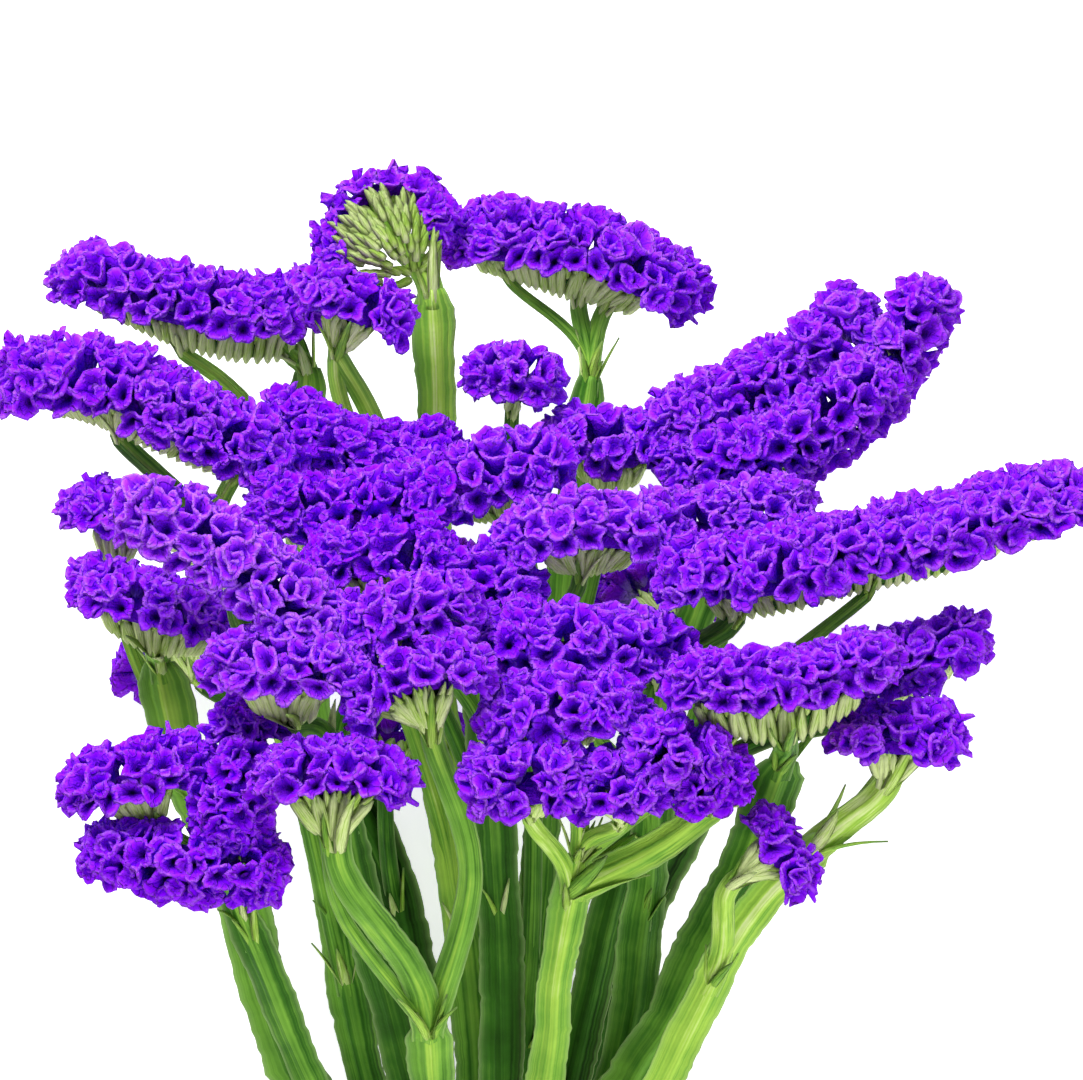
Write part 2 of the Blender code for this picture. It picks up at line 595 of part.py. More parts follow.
def bridge(bm, outer, inner):
    """Triangles between two closed loops that start at the same corner."""
    a, b = 0, 0
    while a < len(outer) or b < len(inner):
        if b == len(inner) or (a < len(outer) and (a + 1) / len(outer) <= (b + 1) / len(inner)):
            bm.faces.new((outer[a % len(outer)], outer[(a + 1) % len(outer)], inner[b % len(inner)]))
            a += 1
        else:
            bm.faces.new((outer[a % len(outer)], inner[(b + 1) % len(inner)], inner[b % len(inner)]))
            b += 1


def make_flowers(name, spike, rng):
    """The flowers of a spike: a low core, raised into a funnel with a waved rim at each calyx."""
    crowd = crowd_of(name, False)
    shares, leans, length = seam_lines(spike)
    step = (length + 2 * END_WRAP) / (len(shares) - 1)
    lift = GAP / 2 + bow(spike, shares, 1)
    bm = bmesh.new()
    lines = []
    for share, lean in zip(shares, leans):
        point, upright, side, _ = row_frame(spike, share, lean, lift)
        ring = [point + CORE_REACH * (upright * math.cos(turn) + side * math.sin(turn))
                for turn in np.radians(np.linspace(-90, 90, SEAMS + 1))]
        ring = give_way(np.array(ring), point + 1.0 * upright, crowd)
        lines.append([bm.verts.new(corner) for corner in ring])
    for i, (near, far) in enumerate(zip(lines, lines[1:])):
        share = (shares[i] + shares[i + 1]) / 2
        frame = row_frame(spike, share, (leans[i] + leans[i + 1]) / 2, lift)
        for low, high in ROW_CELLS[i % 2]:
            loop = near[low:high + 1] + far[low:high + 1][::-1]
            rim, axis = cell_rim(spike, frame, low, high, step, rng)
            rim = give_way(rim, frame[0] + frame[1], crowd)
            throat = bm.verts.new(rim.mean(axis=0) - axis * THROAT)
            edge = [bm.verts.new(corner) for corner in rim]
            bridge(bm, loop, edge)
            for k in range(len(edge)):
                bm.faces.new((edge[k], edge[(k + 1) % len(edge)], throat))
        bm.faces.new((near[0], far[0], far[-1], near[-1]))
    bm.faces.new(lines[0][::-1])
    bm.faces.new(lines[-1])
    return new_object(name, bm)


def make_knot(place):
    """The knot, and the two cut ends of the twine that come out of it."""
    bm = bmesh.new()
    bmesh.ops.create_icosphere(bm, subdivisions=1, radius=1.0)
    bmesh.ops.scale(bm, vec=KNOT_HALF, verts=bm.verts)
    bmesh.ops.translate(bm, vec=place, verts=bm.verts)
    pieces = [new_object("knot", bm)]
    for path in KNOT_ENDS:
        points = smooth([np.add(place, point) for point in path], 5.0)
        side, lift = sides_of(points)
        turns = np.radians(np.arange(0, 360, 60))
        rings = [point + TWINE_RADIUS * (np.outer(np.cos(turns), across) + np.outer(np.sin(turns), raised))
                 for point, across, raised in zip(points, side, lift)]
        pieces.append(skinned("knot_end", rings))
    return pieces


def make_tie():
    """Turns of twine side by side round the stems, with a flat underside and a small knot on top."""
    half = TIE_OUTLINE + [(-x, z) for x, z in TIE_OUTLINE[:0:-1]]
    path = np.array([(x, 0.0, z) for x, z in half])
    before, after = np.roll(path, 1, axis=0), np.roll(path, -1, axis=0)
    run = unit(after - before)
    out = np.stack([-run[:, 2], run[:, 1] * 0, run[:, 0]], axis=1)
    middle = path.mean(axis=0)
    out *= np.sign((out * (path - middle)).sum(axis=1))[:, None]
    rings = []
    span = TWINE_TURNS * TWINE_PITCH / 2
    for point, away in zip(path, out):
        ring = [point + np.array([0, -span, 0])]
        for turn in range(TWINE_TURNS):
            y = (turn - (TWINE_TURNS - 1) / 2) * TWINE_PITCH
            for offset, height in ((-0.5, 0.45), (-0.24, 1.0), (0.24, 1.0)):
                along = np.array([0, y + offset * TWINE_PITCH, 0])
                ring.append(point + along + away * height * 2 * TWINE_RADIUS)
        ring.append(point + np.array([0, span, 0]) + away * 0.45 * 2 * TWINE_RADIUS)
        ring.append(point + np.array([0, span, 0]))
        rings.append(np.array(ring))
    return fuse(skinned("twine_tie", rings, closed=True), make_knot((KNOT_X, 0.0, KNOT_Z)))


def fuse(body, others):
    """One Boolean union of the body with the others, which are then removed."""
    gathered = bpy.data.collections.new(body.name + "_parts")
    bpy.context.scene.collection.children.link(gathered)
    for obj in others:
        bpy.context.scene.collection.objects.unlink(obj)
        gathered.objects.link(obj)
    union = body.modifiers.new("union", "BOOLEAN")
    union.operation = "UNION"
    union.operand_type = "COLLECTION"
    union.solver = "EXACT"
    union.collection = gathered
    graph = bpy.context.evaluated_depsgraph_get()
    mesh = bpy.data.meshes.new_from_object(body.evaluated_get(graph))
    body.modifiers.remove(union)
    body.data = mesh
    for obj in others:
        bpy.data.objects.remove(obj)
    bpy.data.collections.remove(gathered)
    return body


def material(name, colour, roughness):
    """A plain Principled material."""
    made = bpy.data.materials.new(name)
    made.use_nodes = True
    shader = made.node_tree.nodes["Principled BSDF"]
    shader.inputs["Base Color"].default_value = colour
    shader.inputs["Roughness"].default_value = roughness
    shader.inputs["Metallic"].default_value = 0.0
    made.diffuse_color = colour
    return made


def wear(obj, made):
    obj.data.materials.clear()
    obj.data.materials.append(made)


def make_stem_piece(name, stem):
    """A stem with its branches and combs, as one body."""
    body = make_stem(name, stem)
    grown = []
    for spike_name, spike in SPIKES.items():
        if spike.stem == name:
            grown.append(make_comb(spike_name, spike))
            for join in spike.joins:
                grown.append(make_branch(spike_name + "_branch", branch_path(spike, join), join[2]))
    return fuse(body, grown)


def main():
    for obj in list(bpy.data.objects):
        bpy.data.objects.remove(obj, do_unlink=True)
    rng = random.Random(SEED)
    lay_out()
    green = material("stem_green", LEAF_GREEN, 0.6)
    violet = material("calyx_violet", VIOLET, 0.75)
    brown = material("twine_brown", TWINE_BROWN, 0.85)
    for name, stem in STEMS.items():
        wear(make_stem_piece(name, stem), green)
    for name, spike in SPIKES.items():
        wear(make_flowers(name, spike, rng), violet)
    wear(make_tie(), brown)


main()
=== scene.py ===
"""The looks of a cut bunch of statice that lies on a pale floor.

Lengths are in millimetres until a mesh is made. +Y runs from the cut ends to the flowers, and +Z is up.
The stems' points, the spikes' spines and the rules by which spikes give way to each other are the model's own, so
every fine piece grows where its plain solid is. A shape is a grid of points worked out as whole arrays:
rings along a path, or rings from a calyx's foot to its rim and back down its throat.
"""

import math

import bpy
import numpy as np
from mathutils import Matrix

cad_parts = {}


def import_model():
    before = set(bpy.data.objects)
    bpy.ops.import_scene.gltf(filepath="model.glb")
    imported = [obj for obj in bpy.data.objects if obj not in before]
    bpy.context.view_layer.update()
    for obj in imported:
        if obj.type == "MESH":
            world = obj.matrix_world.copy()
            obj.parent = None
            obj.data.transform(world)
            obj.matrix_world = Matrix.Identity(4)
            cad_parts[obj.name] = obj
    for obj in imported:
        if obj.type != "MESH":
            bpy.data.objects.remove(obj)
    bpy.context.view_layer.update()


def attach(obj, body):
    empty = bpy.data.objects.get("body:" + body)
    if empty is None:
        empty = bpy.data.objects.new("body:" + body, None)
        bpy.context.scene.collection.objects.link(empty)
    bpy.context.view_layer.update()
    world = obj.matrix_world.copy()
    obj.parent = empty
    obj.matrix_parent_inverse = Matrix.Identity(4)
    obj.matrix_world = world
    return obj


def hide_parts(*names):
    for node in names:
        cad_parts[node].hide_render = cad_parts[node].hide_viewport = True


MM = 0.001
SEED = 11

# The photograph's frame, and the camera that looks straight down on the bunch
IMAGE_WIDTH = 1083
FOCAL_PIXELS = 5880
SENSOR = 36.0
CAMERA_PLACE = (0.0135, 0.203, 1.480)

# Sizes shared with the model: the twine and tie, the stems, the combs and flowers, and how points give way
GAP = 0.3
TWINE_RADIUS = 1.5
TWINE_TURNS = 5
TWINE_PITCH = 2.7
TIE_HALF_STRAIGHT = 8.0
STEM_PITCH_X = 6.55
CUT_END_Y = -150.0
END_SPLAY_X = 1.9
END_SPLAY_Z = 1.5
CORE_HALF = 1.9
CORE_HIGH = 2.25
TIE_HALF_WIDTH = 2.85
CUT_HALF_WIDTH = 3.8
WIDENING_Y = 24.0
WIDENED_Y = 65.0
TURNED_Y = 130.0
REAR_HEIGHT = 2 * TWINE_RADIUS + GAP + CORE_HIGH
ROW_SPACING = 2 * CORE_HIGH + 3 * GAP
ROWS = ("rear", "back", "middle", "front")
COMB_DEPTH = 9.0
COMB_TAPER = 0.62
TAPERED_LENGTH = 46.0
REACH = 13.5
ARM_REACH = 14.5
WIDE_REACH = 16.0
TIP_TRIM = 4.0
SITE_STEP = 3.0
SIGHT = 30.0
UPPER_SHARE = 0.16
UPPER_BY = 12.0
LEAST_ROOM = 0.5
TIP_TRIM_SHARE = 0.2
HEADING_SHARE = 0.05
JOINT_DEPTH = 2.5
JOINT_SMOOTH = 6.0
BRANCH_PULL = 0.45
TIE_OUTLINE = [(0.0, 3.0), (5.5, 3.0), (10.6, 3.0), (13.6, 9.0),
               (16.9, 20.8), (16.8, 22.8), (15.2, 24.5), (6.0, 24.7)]
KNOT_PLACE = (2.0, 0.0, 28.5)
KNOT_ENDS = [[(0, 0, 0), (6, -5, 0.5), (11, -13, -1.0)], [(0, 0, 0), (-7, -4, 0.5), (-12, -13, -1.5)]]

# How closely the fine pieces are drawn: steps along paths and corners round sections
STEM_STEP = 5.0
WING_STEP = 1.7
BRANCH_STEP = 1.7
WING_CORNERS = 20
BLADE_ROWS = 6
CORD_CORNERS = 15
CALYX_CORNERS = 22
REAR_CORNERS = 10

# Wings: half their thickness, how far past the core they are full, and the waves of their margins as (size,
# millimetres to a radian): sideways as shares of the half-width, and up and down in millimetres
WING_EDGE = 0.28
FULL_WING = 3.0
SWING = ((0.07, 9.1), (0.04, 4.3))
SWING_NOISE = 0.03
RIPPLE = ((0.8, 9.3), (0.3, 3.4))

# A stalk's core: its bell curve's width, and the power that squares off the edges. Then its last rings' shares
CORE_BELL = 0.85
CORE_SQUARED = 0.6
TIP_NARROWING = [0.85, 0.75, 0.6]

# Branches: the core's share of the half-width, how much narrower they end, and their tone against the stem's
BRANCH_SMOOTH = 3.0
BRANCH_CORE = 0.62
BRANCH_NARROWING = 0.2
BRANCH_TONES = (-0.1, 0.12)

# Blades: half a flat one's thickness, a strip's thickness and the hollow of both as shares of the half-width, and
# how far they bend sideways for their length
BLADE_THICK = 0.22
STRIP_THICK = 0.55
BLADE_CUP = 0.35
BLADE_BEND = 0.12

# The leaves that clasp a node: how many, how long and wide for the branch's half-width, and how far they open
STIPULES = 4
STIPULE_LENGTH = (3, 6)
STIPULE_HALF = 0.5
STIPULE_OPENING = (0.12, 0.35)

# The comb's bracts, in ranks: (foot's share of the depth, spread, length's share of the depth, half-width). Then
# their spacing, how they fan out, curl and stray, and their tone, with a rank's difference
BRACT_RANKS = [(1.0, 0.42, 1.15, 1.3), (0.45, 0.75, 0.8, 1.3)]
BRACT_STEP = 2.5
BRACT_FAN = 0.4
BRACT_CURL = -0.14
BRACT_STRAY = 0.12
FAN_STRAY = 0.08
BRACT_TONE = 0.95
TONE_STRAY = 0.1
RANK_DARKER = 0.1

# The keel under them: its half-width, its share of the comb's depth, its rings' spacing and its tone, kept dark
# as painted shade in the gaps between the bracts
KEEL_HALF = 2.1
KEEL_DEPTH = 0.86
KEEL_STEP = 2.5
KEEL_SHADE_TONE = 0.12

# The scaly back of the spike that curls into a ring: a dome, which way its tiers of scales run in radians, how
# many there are and how high they rise, and a scale's spacing, length, half-width, lift, curl, tones and stray
DOME_CENTRE = (-23.3, 274.8, 59.5)
DOME_RADIUS = 10.2
DOME_AHEAD = 2.23
DOME_TIERS = 9
DOME_RISE = 9.0
SCALE_PITCH = 1.75
SCALE_LENGTH = (4.5, 6)
SCALE_HALF = 1.25
SCALE_LIFT = 0.45
SCALE_CURL = -0.1
SCALE_TONES = (0.72, 1.0)
SCALE_STRAY = 0.06
SCALE_TONE_STRAY = 0.08

# Rows of calyces: how far they go past the spine's ends, how far the last ones lean out there in degrees, their
# spacing, a row's spread to each side in degrees, less for each degree that it leans, and the spacing in a row,
# measured at a share of the reach
END_WRAP = 12.0
END_LEAN = 66.0
CALYX_ROW = 4.1
CALYX_SPREAD = 56.0
LEANING_SPREAD = 0.35
CALYX_PITCH = 4.2
PITCH_HEIGHT = 0.8

# How far calyces stray: their turn in degrees, their lean along the spine and sideways, and their place
TURN_STRAY = 7
LEAN_STRAY = 0.2
SIDE_STRAY = 0.1
PLACE_STRAY = 1.2
ROOT_HEIGHT = 0.6

# A calyx: its rim's radius, the ranges of its rim and its reach, how much shorter one is that faces sideways,
# where its funnel starts, and how much its tone varies
CALYX_RIM = 4.1
RIM_RANGE = (0.86, 1.12)
REACH_RANGE = (0.86, 1.03)
SIDE_NARROWING = 0.3
FOOT_HEIGHT = 2.2
FOOT_SHARE = 0.25
TONE_NOISE = 0.09

# The flowers' close-packed feet: (half as wide, their middle's height, half as high), the rings' spacing, and
# the tone
CORE_ROUND = (4.4, 2.6, 2.5)
CORE_STEP = 3.0
CORE_TONE = 0.3

# The least share of its length that a calyx keeps, and how far one may go past the plane to another spine and past
# the side of a stalk
LEAST_SHARE = 0.42
PLANE_SLACK = 1.2
STALK_SLACK = 1.0

# A calyx's pleats: how many, from and below, then how much they, slower swells and a crush push its wall outwards
# and along, how far the pleats lean over, how much the wave varies, and how flat a calyx is squashed
FRILLS = (3, 7)
FRILL_OUT, SWELL_OUT, CRUSH_OUT = 0.45, 0.4, 0.16
SWAY_ALONG, CRUSH_ALONG = 0.585, 0.22
PLEAT_LEAN = 0.4
WAVE_RANGE = (0.7, 1.2)
SQUASH = (0.6, 1.0)

# A calyx's rings, from its foot up to the rim and down to its throat
FUNNEL_FLARE = np.array([0.2, 0.62, 1.0, 0.8, 0.4, 0.1])
FUNNEL_RISE = np.array([0.0, 0.7, 0.98, 1.0, 0.84, 0.55])
FUNNEL_WAVE = np.array([0.0, 0.1, 0.25, 0.25, 0.14, 0.0])
FUNNEL_REACH = np.array([1.0, 0.72, 0.53, 0.47, 0.24, 0.0])

# How light each stem is, from dark green to bright yellow-green: partly its own green and partly painted shade,
# darkest for the rear stems under the others. Then each spike, from deep violet to lilac: partly its own colour
# and partly painted light, lightest where a spike faces the light. Then the tone of the spikes that aren't listed
STEM_TONES = {
    "stem_rear_1": 0.12, "stem_rear_2": 0.12, "stem_back_1": 0.5, "stem_back_2": 0.62, "stem_back_3": 0.35,
    "stem_back_4": 0.3, "stem_middle_1": 0.55, "stem_middle_2": 0.3, "stem_middle_3": 0.25,
    "stem_middle_4": 0.38, "stem_front_1": 0.35, "stem_front_2": 0.5, "stem_front_3": 0.6,
    "stem_front_4": 0.36, "stem_front_5": 0.7}
SPIKE_TONES = {"spike_22": 0.85, "spike_23": 0.62, "spike_15": 0.66, "spike_14": 0.66, "spike_08": 0.42,
               "spike_12": 0.34, "spike_13": 0.3, "spike_11": 0.34, "spike_39": 0.36, "spike_40": 0.3,
               "spike_37": 0.36, "spike_35": 0.4, "spike_38": 0.32}
SPIKE_TONE = 0.5

# The share of its tone that a stem of each row has down by the tie: painted shade among the packed stems,
# deepest for the rear and back rows
LOW_SHADE = {"rear": 0.15, "back": 0.12, "middle": 0.42, "front": 0.9}

# Twine: how far a strand takes to turn once, how many there are and how deep they lie apart, how close its turns
# lie, the knot's size each way, and the hairs at each cut end
CORD_LAY = 9.0
STRANDS = 3
STRAND_DEPTH = 0.14
TURN_CLOSENESS = 0.94
KNOT_SIZE = (1.15, 0.85, 1.2)
FRAY_HAIRS = 14
FRAY_LENGTH = (2, 5)
FRAY_HALF = 0.12
FRAY_SPREAD = 0.35
FRAY_CURL = 0.3

# Colours
# The throat's colour is painted shade deep in the funnel.
VIOLET_THROAT_SHADE = (0.01, 0.0, 0.075)
VIOLET_WALL = (0.13, 0.0, 0.68)
VIOLET_FRILL = (0.25, 0.0, 1.0)
# The rim's colour is partly the paper's own paler edge and partly a painted highlight.
VIOLET_RIM = (0.31, 0.015, 1.0)
VIOLET_FOOT = (0.35, 0.22, 0.8)
LILAC_WALL = (0.24, 0.008, 0.88)
LILAC_FRILL = (0.38, 0.035, 1.0)
# The lilac rim is partly the paper's own paler edge and partly a painted highlight.
LILAC_RIM = (0.5, 0.17, 1.0)
LILAC_FOOT = (0.55, 0.42, 0.85)
GREEN_DEEP = (0.004, 0.022, 0.0)
GREEN_MIDDLE = (0.045, 0.17, 0.014)
GREEN_PALE = (0.2, 0.45, 0.05)
GREEN_BRIGHT = (0.45, 0.72, 0.09)
GREEN_BRACT = (0.82, 0.95, 0.42)
GREEN_MARGIN = (0.45, 0.66, 0.24)
TWINE_DARK = (0.13, 0.07, 0.03)
TWINE_LIGHT = (0.62, 0.44, 0.24)

# Patterns: how many a metre, or round and along a skin, and how far each moves the colour's share
RIBS = (46.0, 1.6, 1.0)
PAPER_CLOUDS, PAPER_CLOUD_SHARE = 260.0, 0.8
# The crepe's folds are bumps, and in the colour they are painted highlights.
CREPE, CREPE_SHARPNESS, CREPE_HIGHLIGHT_SHARE = 420.0, 11.0, 0.55
PAPER_DARKER = 0.3
STREAKS, STREAK_SHARE = (26.0, 2.5, 1.0), 0.85
STEM_CLOUDS, STEM_CLOUD_SHARE = 90.0, 0.35
MIDRIB_NARROWNESS, MIDRIB_SHARE = 2.6, 0.14
MARGIN_NARROWNESS, MARGIN_SHARE = 8.0, 0.6
STEM_GRAIN = 1200.0
FIBRES = (40.0, 300.0, 1.0)

# Surfaces
PAPER = (0.72, 0.05, 0.0011)
PLANT = (0.55, 0.08, 0.0008)
JUTE = (0.9, 0.5, 0.0003)
PLAIN = (0.9, 0.5, 0.0)

# Light: the floor's glow, the sky's strength, and two softboxes
FLOOR_GLOW = 0.6
SKY_STRENGTH = 0.34
KEY_POWER = 41.0
KEY_PLACE, KEY_TARGET, KEY_SIZE = (-0.5, 1.5, 1.1), (0.0, 0.2, 0.06), 0.9
FILL_POWER = 18.0
FILL_PLACE, FILL_TARGET, FILL_SIZE = (0.5, -0.9, 1.3), (0.0, 0.15, 0.06), 1.2
FLOOR_SIZE = 6.0
WHITE = (1.0, 1.0, 1.0, 1.0)
FLOOR_WHITE = (0.95, 0.95, 0.95, 1.0)


class Stem:
    """A stem: its row and place in the tie, its points above it, its half-width and its turn in degrees."""

    def __init__(self, row, column, route, wing=5.0, turn=0.0):
        self.row, self.column, self.route = row, column, route
        self.wing, self.turn = wing, turn


class Spike:
    """A flower spike: the line where comb and flowers meet, the way the flowers face, and its branches.

    joins lists each branch: the share of the stem's length where it leaves, the share of the spine where it
    arrives, its half-width, and any points that it passes on the way.
    """

    def __init__(self, stem, spine, faces, joins, reach=REACH, depth=COMB_DEPTH, fan=18.0, around=None):
        self.stem, self.spine, self.joins = "stem_" + stem, spine, joins
        self.faces = unit(np.array(faces, float))
        self.reach, self.depth, self.fan = reach, depth, fan
        self.around = None if around is None else np.array(around, float)


def stray(rng, size, shape):
    """Random numbers up to size to either side of nought."""
    return rng.uniform(-size, size, shape)


def unit(vector):
    return vector / np.maximum(np.linalg.norm(vector, axis=-1, keepdims=True), 1e-9)


STEMS = {}
SPIKES = {}
PATHS = {}
SITES = {}
STALKS = []


def list_stems():
    """The stems, row by row from the lowest, each from left to right."""
    STEMS.update(
        stem_rear_1=Stem("rear", -1, [(-16, 70, 10), (-25, 120, 14), (-42, 150, 17)], 7.0, 6),
        stem_rear_2=Stem("rear", 1, [(24, 70, 10), (42, 120, 14), (58, 150, 17)], 7.0, -6),
        stem_back_1=Stem("back", -1.5, [(-31, 75, 24), (-42, 150, 40), (-44, 205, 48), (-43, 243, 52)], 5.0, 15),
        stem_back_2=Stem("back", -0.5, [(-3, 75, 25), (-11, 150, 40), (-14, 200, 47), (-12, 235, 50),
            (-13, 262, 57)], 5.0, 0),
        stem_back_3=Stem("back", 0.5, [(9, 75, 25), (15, 150, 40), (20, 200, 44), (25, 241, 45)], 4.5, -10),
        stem_back_4=Stem("back", 1.5, [(22, 75, 24), (40, 150, 40), (56, 200, 56), (64, 213, 61)], 5.0, -15),
        stem_middle_1=Stem("middle", -1.5, [(-47, 74, 44), (-59, 115, 60), (-72, 149, 72), (-77, 172, 80)], 6.5,
            20),
        stem_middle_2=Stem("middle", -0.5, [(-20, 75, 46), (-30, 120, 78), (-36, 155, 108)], 5.0, -10),
        stem_middle_3=Stem("middle", 0.5, [(4, 75, 44), (3, 120, 62), (0, 160, 78), (-3, 176, 86)], 5.5, 5),
        stem_middle_4=Stem("middle", 1.5, [(32, 73, 44), (37, 105, 58), (40, 135, 76), (41, 168, 98)], 5.5, -20),
        stem_front_1=Stem("front", -2, [(-41, 70, 60), (-52, 100, 80), (-59, 120, 94)], 4.5, 15),
        stem_front_2=Stem("front", -1, [(-11, 45, 50), (-13, 87, 88)], 5.5, 0),
        stem_front_3=Stem("front", 0, [(14, 70, 60), (17, 100, 82), (22, 128, 104)], 4.5, -10),
        stem_front_4=Stem("front", 1, [(33, 68, 50), (43, 86, 63), (52, 106, 77), (63, 132, 96), (69, 150, 110)],
            6.5, -20),
        stem_front_5=Stem("front", 2, [(29, 42, 56), (43, 75, 78), (61, 113, 100), (78, 132, 109)], 5.0, -25))


